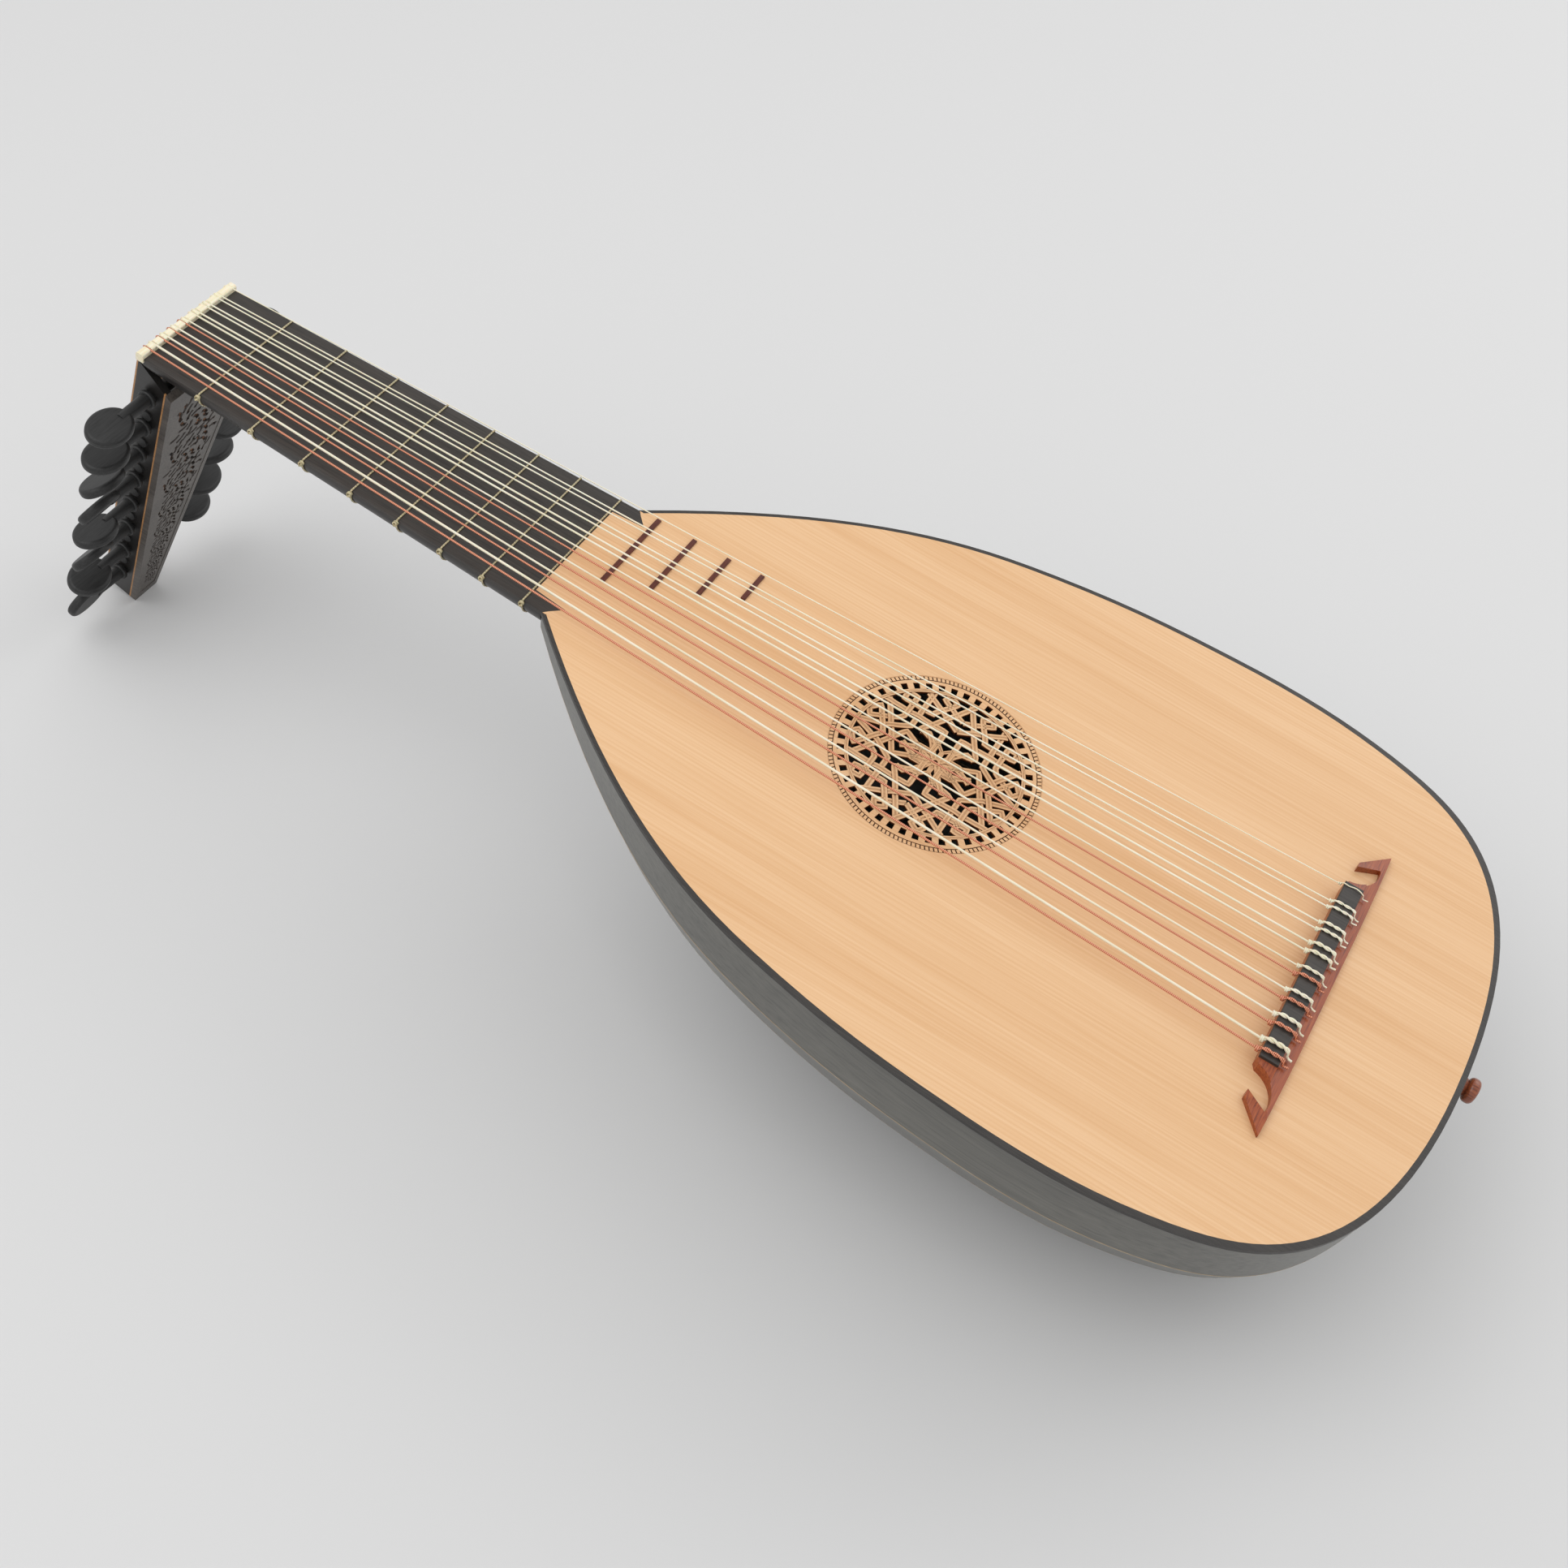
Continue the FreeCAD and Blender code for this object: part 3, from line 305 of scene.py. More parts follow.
bone = make_bone()
gut = make_twisted("twisted_gut", ("a39773", "c9bd98"), 1.6, 0.4, "Y", Subsurface_Weight=0.1,
                   Subsurface_Scale=0.001)
plain_string = make_drawn_string()
wound_string = make_twisted("copper_winding", ("b5654a", "e2a183"), 0.8, 0.32, Metallic=0.6)
print("bone, gut and strings made")

# %% [markdown]
# ## Materials on the frame's nodes
# Nodes that are right as they stand only take a material.

# %% Dress the nodes
DRESS = {
    "soundboard": spruce, "soundboard_edging": black_edge, "rib_spacers": spacer_pale,
    "neck": neck_black, "neck_block": inside_pale, "tail_liner": inside_pale,
    "soundboard_bars": inside_pale, "fingerboard": black_board, "fingerboard_points": black_board,
    "nut": bone, "body_frets": fret_brown, "bridge": red_plum, "bridge_cap": black_board,
    "pegbox_cheek_bass": pegbox_black, "pegbox_cheek_treble": pegbox_black,
    "pegbox_back": plate_grey, "pegbox_end_block": pegbox_black,
    "pegbox_stringing": stringing_gold, "end_button": button_plum,
}
for name, node in frame["nodes"].items():
    family = name.split("_")[0]
    material = DRESS.get(name) or {"rib": rib_grey, "peg": peg_black, "course": plain_string,
                                   "tied": gut, "rose": spruce}.get(family)
    node.data.materials.clear()
    node.data.materials.append(material)
print("dressed", len(frame["nodes"]), "nodes")

# %% [markdown]
# ## Running a geometry tree
# Cords, straps and beads are grown by Geometry Nodes from a plain line or a single shape. The
# tree works in maker's millimetres; its result is kept as a plain mesh in the frame's metres.

# %% Tree helpers
def new_tree(name, sizes):
    """A geometry tree with a geometry input, named number inputs and a material."""
    tree = bpy.data.node_groups.new(name, "GeometryNodeTree")
    tree.interface.new_socket("Geometry", in_out="INPUT", socket_type="NodeSocketGeometry")
    for size, kind in sizes.items():
        tree.interface.new_socket(size, in_out="INPUT", socket_type="NodeSocket" + kind)
    tree.interface.new_socket("Material", in_out="INPUT", socket_type="NodeSocketMaterial")
    tree.interface.new_socket("Geometry", in_out="OUTPUT", socket_type="NodeSocketGeometry")
    return tree, add(tree, "NodeGroupInput").outputs


def close_tree(tree, sockets, shape):
    """Ends a tree: instances become real, then they take the material."""
    real = add(tree, "GeometryNodeRealizeInstances", {0: shape})
    dressed = add(tree, "GeometryNodeSetMaterial",
                  {0: real.outputs[0], "Material": sockets["Material"]})
    add(tree, "NodeGroupOutput", {0: dressed.outputs[0]})


def grow(name, tree, source, sizes, matrix=LUTE):
    """Runs a tree on a source mesh and keeps its result as a plain piece."""
    holder = bpy.data.objects.new(name + "_source", source)
    scene.collection.objects.link(holder)
    modifier = holder.modifiers.new("shape", "NODES")
    modifier.node_group = tree
    for item in tree.interface.items_tree:
        if item.in_out == "INPUT" and item.name in sizes:
            modifier[item.identifier] = sizes[item.name]
    graph = bpy.context.evaluated_depsgraph_get()
    mesh = bpy.data.meshes.new_from_object(holder.evaluated_get(graph))
    bpy.data.objects.remove(holder)
    mesh.transform(matrix)
    mesh.name = name
    piece = bpy.data.objects.new(name, mesh)
    scene.collection.objects.link(piece)
    return piece


def lines(name, paths, closed=False):
    """A mesh of bare lines, one through each path's points."""
    points, edges = [], []
    for path in paths:
        first = len(points)
        points += [tuple(p) for p in path]
        edges += [(i, i + 1) for i in range(first, len(points) - 1)]
        if closed:
            edges.append((len(points) - 1, first))
    mesh = bpy.data.meshes.new(name)
    mesh.from_pydata(points, edges, [])
    return mesh


def join(name, parts, body):
    """Several pieces of one body made one."""
    with bpy.context.temp_override(active_object=parts[0], object=parts[0], selected_objects=parts,
                                   selected_editable_objects=parts):
        bpy.ops.object.join()
    parts[0].name = name
    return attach(parts[0], body)


# %% A tree that thickens lines into cords
def make_cord_tree():
    tree, sockets = new_tree("cord", {"Radius": "Float", "Sides": "Int"})
    path = add(tree, "GeometryNodeMeshToCurve", {0: sockets["Geometry"]})
    ring = add(tree, "GeometryNodeCurvePrimitiveCircle", {"Resolution": sockets["Sides"],
                                                          "Radius": sockets["Radius"]})
    tube = add(tree, "GeometryNodeCurveToMesh", {"Curve": path.outputs[0],
                                                 "Profile Curve": ring.outputs[0],
                                                 "Fill Caps": True})
    smooth = add(tree, "GeometryNodeSetShadeSmooth", {0: tube.outputs[0]})
    close_tree(tree, sockets, smooth.outputs[0])
    return tree


cord_tree = make_cord_tree()


def cord(name, paths, radius, material, sides=8, closed=False, matrix=LUTE):
    """A round cord along each path."""
    return grow(name, cord_tree, lines(name, paths, closed),
                {"Radius": radius, "Sides": sides, "Material": material}, matrix)


# %% [markdown]
# ## Strings
# Seven double courses and a single top string. Each string comes off its peg, bends over the
# nut and runs to the bridge, where it is looped round the cap: two strands twisted over the cap,
# a knot in front of it and a short tail behind. All of it is cord grown along lines.

# %% String table and the pegbox's own frame
BOARD_T = 2.0
NUT_W = 4.2
STRING_LENGTH = 600.0
STRING_Z_NUT = 2.0
STRING_Z_BRIDGE = 7.0
CAP_FRONT = 601.0
CAP_BACK = 610.0
CAP_TOP = 8.4
LEDGE_Z = 4.3
PEG_DEPTH = 10.6
PEG_R = 3.5
PEG_GAP = 0.2                                  # string to peg
PEG_FIRST_S = 21.0
PEG_PITCH = 25.7
TREBLE_SHARE = (0.66, 0.50)                    # a treble peg stands this far between two bass pegs
STRING_GATHER = 0.35
# course, diameter, y at the nut, y at the bridge
STRINGS = (
    (1, 0.55, 31.6, 52.4), (2, 0.70, 23.7, 40.6), (2, 0.70, 21.4, 36.7), (3, 0.80, 15.5, 26.5),
    (3, 0.80, 13.1, 22.1), (4, 0.95, 7.5, 13.3), (4, 0.95, 5.0, 8.2), (5, 0.80, -0.4, -1.5),
    (5, 0.90, -2.9, -6.2), (6, 0.90, -7.9, -16.2), (6, 0.95, -10.5, -21.5), (7, 1.00, -15.6, -31.1),
    (7, 1.00, -18.4, -36.3), (8, 1.20, -23.7, -46.0), (8, 1.05, -27.9, -51.6),
)
WOUND = (8, 10, 12, 14)                        # rows of the strings wound with copper
# takes (down the pegbox, y, depth from its front edge) to the maker's frame
PEGBOX = Matrix((
    (-math.sin(PEGBOX_LEAN), 0.0, math.cos(PEGBOX_LEAN), -NUT_W),
    (0.0, 1.0, 0.0, 0.0),
    (-math.cos(PEGBOX_LEAN), 0.0, -math.sin(PEGBOX_LEAN), -BOARD_T),
    (0.0, 0.0, 0.0, 1.0)))


def peg_of(row):
    """(number, s) of the peg that a string is wound on."""
    if row < 7:
        share = TREBLE_SHARE[0] + (TREBLE_SHARE[1] - TREBLE_SHARE[0]) * row / 6.0
        return 9 + row, PEG_FIRST_S + PEG_PITCH * (row + share)
    return 15 - row, PEG_FIRST_S + PEG_PITCH * (14 - row)


# %% String paths
BEHIND_NUT = 0.95                              # the string bends this far behind the nut
BEND = 1.6                                     # how far the bend is spread to each side


def string_path(row):
    """From the cap, over the nut in a small bend and down to the peg."""
    diameter, y_nut, y_bridge = STRINGS[row][1:]
    s = peg_of(row)[1]
    start = Vector((STRING_LENGTH - 0.6, y_bridge, STRING_Z_BRIDGE))
    reach = (NUT_W + BEHIND_NUT) / STRING_LENGTH
    corner = Vector((-NUT_W - BEHIND_NUT, y_nut - (y_bridge - y_nut) * reach,
                     STRING_Z_NUT - (STRING_Z_BRIDGE - STRING_Z_NUT) * reach))
    end = PEGBOX @ Vector((s, y_nut * STRING_GATHER, PEG_DEPTH - PEG_R - diameter / 2.0 - PEG_GAP))
    back = (start - corner).normalized()
    forth = (end - corner).normalized()
    bend = []
    for i in range(7):
        share = i / 6.0
        bend.append(corner + back * (BEND * (1.0 - share) ** 2) + forth * (BEND * share ** 2))
    return [start] + bend + [end]


TIE_TURNS = 2.0
STRAND_STEPS = 30
KNOT_STEPS = 24
KNOT_ANGLE = 0.55                              # between two points of a knot, in radians
KNOT_LENGTH = 1.6


def strand(row, phase):
    """One of the two strands laid round each other over the cap, from the knot to behind it."""
    diameter, y = STRINGS[row][1], STRINGS[row][3]
    r = diameter / 2.0
    swing = r * 1.05
    spine = [(CAP_FRONT - 1.6, STRING_Z_BRIDGE), (CAP_FRONT - 0.5, CAP_TOP - 0.2 + r),
             (CAP_FRONT + 0.8, CAP_TOP + r + swing), (CAP_BACK - 1.0, CAP_TOP + r + swing),
             (CAP_BACK + 0.3 + r, CAP_TOP - 0.4 + r), (CAP_BACK + 0.9 + r, LEDGE_Z + 1.6)]
    lengths = [0.0]
    for (x0, z0), (x1, z1) in zip(spine, spine[1:]):
        lengths.append(lengths[-1] + math.hypot(x1 - x0, z1 - z0))
    points = []
    for i in range(STRAND_STEPS + 1):
        at = lengths[-1] * i / STRAND_STEPS
        k = max(j for j in range(len(spine) - 1) if lengths[j] <= at)
        share = (at - lengths[k]) / (lengths[k + 1] - lengths[k])
        x = spine[k][0] + (spine[k + 1][0] - spine[k][0]) * share
        z = spine[k][1] + (spine[k + 1][1] - spine[k][1]) * share
        angle = 2.0 * math.pi * TIE_TURNS * at / lengths[-1] + phase
        points.append((x, y + swing * math.cos(angle), z + swing * 0.8 * math.sin(angle)))
    return points


def knot(row):
    """Two turns of a loop knot round the string, just before the cap."""
    diameter, y = STRINGS[row][1], STRINGS[row][3]
    r = diameter * 0.95
    x0 = CAP_FRONT - 2.6
    points = []
    for i in range(KNOT_STEPS + 1):
        angle = KNOT_ANGLE * i
        points.append((x0 + KNOT_LENGTH * i / KNOT_STEPS, y + r * math.cos(angle),
                       STRING_Z_BRIDGE + r * math.sin(angle)))
    return points


def tail(row):
    """The cut end that stands off behind the cap."""
    diameter, y = STRINGS[row][1], STRINGS[row][3]
    side = -1.0 if row % 2 else 0.4
    x0 = CAP_BACK + 0.9 + diameter / 2.0
    return [(x0 - 0.3, y, LEDGE_Z + 1.8), (x0 + 0.4, y + side * 0.3, LEDGE_Z + 1.0),
            (x0 + 1.4, y + side * 0.9, LEDGE_Z + 0.8), (x0 + 2.8, y + side * 1.2, LEDGE_Z + 1.0)]


# %% Grow the strings
for course in range(1, 9):
    parts = []
    for row, (of_course, diameter, y_nut, y_bridge) in enumerate(STRINGS):
        if of_course != course:
            continue
        material = wound_string if row in WOUND else plain_string
        name = "string_%02d" % (row + 1)
        parts.append(cord(name, [string_path(row)], diameter / 2.0, material, 10))
        strands = [strand(row, 0.0), strand(row, math.pi)] if row else [strand(row, 0.0)]
        thin = diameter * 0.52
        parts.append(cord(name + "_tie", strands + [knot(row), tail(row)], thin, material, 7))
    piece = join("course_%d_strings" % course, parts, "lute")
    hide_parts("course_%d" % course)
print("strings on", course, "courses")

# %% [markdown]
# ## Windings on the pegs
# Each string ends in a few turns round its peg. The turns are a spiral and ride on the peg's
# own body, so they go round with it.

# %% Windings
def make_winding_tree():
    tree, sockets = new_tree("winding", {"Radius": "Float", "Shaft": "Float", "Turns": "Float",
                                         "Length": "Float"})
    spiral = add(tree, "GeometryNodeCurveSpiral", {"Resolution": 20, "Rotations": sockets["Turns"],
                                                   "Start Radius": sockets["Shaft"],
                                                   "End Radius": sockets["Shaft"],
                                                   "Height": sockets["Length"]})
    ring = add(tree, "GeometryNodeCurvePrimitiveCircle",
               {"Resolution": 7, "Radius": sockets["Radius"]})
    tube = add(tree, "GeometryNodeCurveToMesh", {"Curve": spiral.outputs[0],
                                                 "Profile Curve": ring.outputs[0],
                                                 "Fill Caps": True})
    smooth = add(tree, "GeometryNodeSetShadeSmooth", {0: tube.outputs[0]})
    close_tree(tree, sockets, smooth.outputs[0])
    return tree


SHAFT_R = 3.2                                  # the peg under the windings
TURNS = 5.0
TURN_SPACING = 1.15                            # in string diameters
winding_tree = make_winding_tree()
for row, (course, diameter, y_nut, y_bridge) in enumerate(STRINGS):
    number, s = peg_of(row)
    length = TURNS * diameter * TURN_SPACING
    at = Vector((s, y_nut * STRING_GATHER, PEG_DEPTH))
    stand = PEGBOX @ Matrix.Translation(at) @ Matrix.Rotation(math.radians(90.0), 4, "X")
    start = Matrix.Translation((0.0, 0.0, -length / 2.0))
    piece = grow("winding_%02d" % number, winding_tree, lines("seed", [[(0, 0, 0), (0, 0, 1)]]),
                 {"Radius": diameter / 2.0, "Shaft": SHAFT_R + diameter / 2.0, "Turns": TURNS,
                  "Length": length, "Material": wound_string if row in WOUND else plain_string},
                 LUTE @ stand @ start)
    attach(piece, "tuning_peg_%02d" % number)
print("windings on 15 pegs")

# %% [markdown]
# ## Tied frets
# Eight lengths of gut go right round the neck and are knotted at the bass edge. The loop is a
# closed line round the neck's section, thickened to a cord; the knot is a tight small coil.

# %% Tied frets
GUT_R = 0.45
NUT_HALF = 33.2
NECK_FLARE = 0.035
BODY_JOINT_X = 232.0
NECK_DEPTHS = (15.5, 20.5)                     # below the board, at the nut and at the body
LOOP_STEPS = 32                                # round the back of the neck
COIL_R = 0.95
COIL_STEPS = 30
COIL_ANGLE = 0.62                              # between two points of the knot, in radians


def fret_x(number):
    return STRING_LENGTH * (1.0 - 2.0 ** (-number / 12.0))


def fret_loop(x):
    """The loop's line round the neck at x, its centre one radius off the wood."""
    half = NUT_HALF + NECK_FLARE * x + GUT_R
    share = (x + NUT_W) / (BODY_JOINT_X + NUT_W)
    depth = NECK_DEPTHS[0] + (NECK_DEPTHS[1] - NECK_DEPTHS[0]) * share + GUT_R
    corner = 0.5
    top = [(x, -half + corner, GUT_R), (x, half - corner, GUT_R), (x, half, GUT_R - corner)]
    under = []
    for i in range(LOOP_STEPS + 1):
        angle = math.pi * i / LOOP_STEPS
        under.append((x, half * math.cos(angle), -BOARD_T - depth * math.sin(angle)))
    return top + under + [(x, -half, GUT_R - corner)]


def fret_knot(x):
    """A knot of three turns with two cut ends, at the bass edge."""
    half = NUT_HALF + NECK_FLARE * x
    coil = []
    for i in range(COIL_STEPS + 1):
        angle = i * COIL_ANGLE
        coil.append((x + COIL_R * math.cos(angle), -half - 0.75 - 0.05 * i,
                     -0.9 + COIL_R * math.sin(angle)))
    end = [(x, -half - 1.0, -0.9), (x + 0.8, -half - 2.6, -0.4), (x + 1.3, -half - 3.4, 0.2)]
    return [coil, end, [(a - 0.9, b, c - 0.9) for a, b, c in end]]


loops = [fret_loop(fret_x(n)) for n in range(1, 9)]
knots = [path for n in range(1, 9) for path in fret_knot(fret_x(n))]
parts = [cord("fret_loops", loops, GUT_R, gut, 8, closed=True),
         cord("fret_knots", knots, 0.42, gut, 7)]
frets = join("gut_frets", parts, "lute")
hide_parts("tied_frets")
print("tied frets", len(loops))

# %% [markdown]
# ## Rose
# The rose is cut through the soundboard as if straps of wood were plaited: each strap has a
# groove down its middle and passes over and under the ones it meets. The straps of one quarter
# are flat routes, mirrored into the other three. Each strap is then made to rise and dip in turn
# at its crossings, and a tree gives it a grooved section. An eight-petal star fills the middle.
# Round the knot stand a ring of small square windows and a border of slanted beads.

# %% Spruce of the rose, with painted shade on the walls of its cuts
ROSE_X = 418.0
ROSE = LUTE @ Matrix.Translation((ROSE_X, 0.0, 0.0))
rose_wood, tree, surface = make_spruce("spruce_cut_rose_painted_shade", "ecc397", "dfb080", "c68f5c")
upward = tuple(TURN @ Vector((0.0, 0.0, 1.0)))
# painted shade: faces that turn away from the board's face are mixed towards dark brown, so the
# walls of the cuts are darkest
facing = add(tree, "ShaderNodeVectorMath", {0: add(tree, "ShaderNodeTexCoord").outputs["Normal"],
                                            1: upward},
             operation="DOT_PRODUCT").outputs["Value"]
cut = add(tree, "ShaderNodeValToRGB", {"Fac": facing},
          ((0.55, "ffffff"), (0.95, "000000"))).outputs[0]
wood = surface.inputs["Base Color"].links[0].from_socket
shaded_walls = add(tree, "ShaderNodeMix", {0: cut, 6: wood, 7: linear("6a3a1c")},
              data_type="RGBA").outputs[2]
tree.links.new(shaded_walls, surface.inputs["Base Color"])
# painted shade: a dark wood for the ring under the beads, standing for the shade in the gaps
# between them
bead_gap_shade = make_wood("spruce_painted_bead_gap_shade", ("3a2213", "5b381f", "7a5030"), 0.6, 0.8)
print("rose centre", [round(c, 4) for c in ROSE.translation])


# %% Trees for straps and for shapes copied round the rose
# a strap's section from its left shoulder round to its foot: (across, down, in the groove)
STRAP_SECTION = ((-0.5, 0.1, 0), (-0.45, 0, 0), (-0.13, 0, 0), (-0.05, 0, 1), (0.05, 0, 1),
                 (0.13, 0, 0), (0.45, 0, 0), (0.5, 0.1, 0), (0.5, 1, 0), (-0.5, 1, 0))


def make_strap_tree():
    tree, sockets = new_tree("strap", {"Width": "Float", "Height": "Float", "Groove": "Float"})
    path = add(tree, "GeometryNodeMeshToCurve", {0: sockets["Geometry"]}).outputs[0]
    level = add(tree, "GeometryNodeSetCurveNormal", {0: path}, mode="Z_UP").outputs[0]
    profile = add(tree, "GeometryNodeCurvePrimitiveCircle",
                  {"Resolution": len(STRAP_SECTION)}).outputs[0]
    index = add(tree, "GeometryNodeInputIndex").outputs[0]
    columns = []
    for column in range(3):
        values = add(tree, "GeometryNodeIndexSwitch", {0: index}, data_type="FLOAT")
        while len(values.index_switch_items) < len(STRAP_SECTION):
            values.index_switch_items.new()
        for i, step in enumerate(STRAP_SECTION):
            values.inputs[i + 1].default_value = step[column]
        columns.append(values.outputs[0])
    wide = add(tree, "ShaderNodeMath", {0: columns[0], 1: sockets["Width"]},
               operation="MULTIPLY").outputs[0]
    high = add(tree, "ShaderNodeMath", {0: columns[1], 1: sockets["Height"]},
               operation="MULTIPLY").outputs[0]
    down = add(tree, "ShaderNodeMath", {0: columns[2], 1: sockets["Groove"], 2: high},
               operation="MULTIPLY_ADD").outputs[0]
    place = add(tree, "ShaderNodeCombineXYZ", {0: wide, 1: down}).outputs[0]
    shaped = add(tree, "GeometryNodeSetPosition", {0: profile, "Position": place}).outputs[0]
    band = add(tree, "GeometryNodeCurveToMesh",
               {"Curve": level, "Profile Curve": shaped, "Fill Caps": True})
    close_tree(tree, sockets, band.outputs[0])
    return tree


def make_round_tree():
    """Copies a shape round the Z axis."""
    tree, sockets = new_tree("round", {"Copies": "Int"})
    points = add(tree, "GeometryNodePoints", {"Count": sockets["Copies"]}).outputs[0]
    index = add(tree, "GeometryNodeInputIndex").outputs[0]
    step = add(tree, "ShaderNodeMath", {0: 2.0 * math.pi, 1: sockets["Copies"]},
               operation="DIVIDE").outputs[0]
    angle = add(tree, "ShaderNodeMath", {0: index, 1: step}, operation="MULTIPLY").outputs[0]
    turn = add(tree, "ShaderNodeCombineXYZ", {2: angle}).outputs[0]
    copies = add(tree, "GeometryNodeInstanceOnPoints",
                 {"Points": points, "Instance": sockets["Geometry"],
                  "Rotation": turn}).outputs[0]
    close_tree(tree, sockets, copies)
    return tree


strap_tree = make_strap_tree()
round_tree = make_round_tree()

# %% The knot: one quarter's straps, mirrored
# millimetres from the rose's centre, towards the bridge and towards the treble edge
QUARTER = (
    ((4.1, 2.5), (4.1, 18.8), (36.3, 18.8)),
    ((18.7, 36.3), (18.7, 11.5), (28.0, 5.2), (40.5, 0.6)),
    ((0.0, 28.6), (13.0, 35.5), (11.0, 39.0), (6.5, 36.5), (13.3, 25.5), (13.5, 24.0), (29.0, 24.0),
     (29.0, 28.8), (24.0, 28.8), (24.0, 14.8), (25.5, 12.4), (37.3, 5.3), (39.4, 8.7), (35.6, 13.8),
     (26.8, -1.0)),
    ((-0.9, 40.6), (10.3, 20.0), (14.5, 13.2), (4.1, 10.0)),
    ((0.0, 22.2), (20.8, 34.3)),
    ((34.8, 20.5), (22.2, -1.0)),
    ((9.5, 2.9), (18.8, 7.8), (24.0, -1.5)),
    ((1.5, 1.2), (6.0, 8.8), (10.0, 13.5), (14.0, 12.2)),
    ((1.2, 1.5), (8.0, 3.2), (12.5, 1.8), (18.0, -1.5)),
)
PETALS = 8
PETAL = ((1.2, 0.0), (6.6, 2.5), (12.6, 0.0), (6.6, -2.5), (1.2, 0.0))
STRAP_W = 2.9
STRAP_H = 1.3
STRAP_GROOVE = 0.5
TOP = -0.45                                    # middle height of a strap's face, below the board's
WEAVE = 0.3                                    # how far a strap rises over or dips under another
WEAVE_REACH = 3.2                              # from a crossing to where the strap is level again
WEAVE_STEP = 1.4                               # between two points of a strap
STAR_W = 1.9


def meeting(p, q, r, t):
    """How far along p to q it meets r to t, as a share, or None."""
    along = (q[0] - p[0], q[1] - p[1])
    other = (t[0] - r[0], t[1] - r[1])
    spread = along[0] * other[1] - along[1] * other[0]
    if abs(spread) < 1e-6:
        return None
    share = ((r[0] - p[0]) * other[1] - (r[1] - p[1]) * other[0]) / spread
    back = ((r[0] - p[0]) * along[1] - (r[1] - p[1]) * along[0]) / spread
    return share if 0.0 < share < 1.0 and 0.0 < back < 1.0 else None


def weave(routes):
    """Gives flat routes their height: each one goes over and under in turn."""
    over = {}
    woven = []
    for number, route in enumerate(routes):
        crossings = []
        run = 0.0
        for p, q in zip(route, route[1:]):
            length = math.dist(p, q)
            for k, other in enumerate(routes):
                for r, t in zip(other, other[1:]):
                    share = meeting(p, q, r, t) if k != number else None
                    if share is not None:
                        place = (round(p[0] + (q[0] - p[0]) * share, 2),
                                 round(p[1] + (q[1] - p[1]) * share, 2))
                        crossings.append((run + share * length, place))
            run += length
        crossings.sort()
        known = [(i, over[place]) for i, (at, place) in enumerate(crossings) if place in over]
        first = -known[0][1] * (-1) ** known[0][0] if known else 1
        points = []
        run = 0.0
        for p, q in zip(route, route[1:]):
            length = math.dist(p, q)
            steps = max(2, round(length / WEAVE_STEP))
            for i in range(steps + (q == route[-1])):
                at = run + length * i / steps
                lift = 0.0
                if crossings:
                    near = min(range(len(crossings)), key=lambda c: abs(crossings[c][0] - at))
                    gap = abs(crossings[near][0] - at)
                    lift = first * (-1) ** near * WEAVE * max(0.0, 1.0 - gap / WEAVE_REACH)
                points.append((p[0] + (q[0] - p[0]) * i / steps,
                               p[1] + (q[1] - p[1]) * i / steps, TOP + lift))
            run += length
        for i, (at, place) in enumerate(crossings):
            over.setdefault(place, first * (-1) ** i)
        woven.append(points)
    return woven


def circle(radius, z, count=96):
    """A closed ring's points about the rose's centre, at one height."""
    points = []
    for i in range(count):
        angle = 2.0 * math.pi * i / count
        points.append((radius * math.cos(angle), radius * math.sin(angle), z))
    return points


def straps(name, paths, width=STRAP_W, closed=False, groove=STRAP_GROOVE, height=STRAP_H,
           material=rose_wood):
    """Grows grooved bands along paths in the rose's plane."""
    return grow(name, strap_tree, lines(name, paths, closed),
                {"Width": width, "Height": height, "Groove": groove, "Material": material}, ROSE)


routes = []
for flip_x, flip_y in ((1, 1), (-1, 1), (-1, -1), (1, -1)):
    routes += [[(x * flip_x, y * flip_y) for x, y in route] for route in QUARTER]
petals = []
for i in range(PETALS):
    turn = Matrix.Rotation(2.0 * math.pi * (i + 0.5) / PETALS, 2)
    petals.append([tuple(turn @ Vector(point)) for point in PETAL])
parts = [straps("knot", weave(routes)), straps("star", weave(petals), STAR_W)]
print("straps", len(routes) + PETALS, "faces", sum(len(part.data.polygons) for part in parts))

# %% Rings, windows and beads
WINDOWS = 46
BEADS = 150
# name, radius, width, height of its face, depth of its groove
RINGS = (("eye", 1.7, 1.2, -0.15, 0.1), ("inner_ring", 41.2, 1.9, -0.12, 0.35),
         ("outer_ring", 46.4, 1.9, -0.1, 0.05), ("edge_ring", 49.8, 0.35, -0.15, 0.05))


def block(name, x0, x1, y0, y1, z0, z1, slant=0.0):
    """A small block whose far end is slanted along the ring."""
    corners = [(x0, y0), (x1, y0 + slant), (x1, y1 + slant), (x0, y1)]
    mesh = bpy.data.meshes.new(name)
    mesh.from_pydata([(x, y, z0) for x, y in corners] + [(x, y, z1) for x, y in corners], [],
                     [(3, 2, 1, 0), (4, 5, 6, 7), (0, 1, 5, 4), (1, 2, 6, 5), (2, 3, 7, 6),
                      (3, 0, 4, 7)])
    return mesh


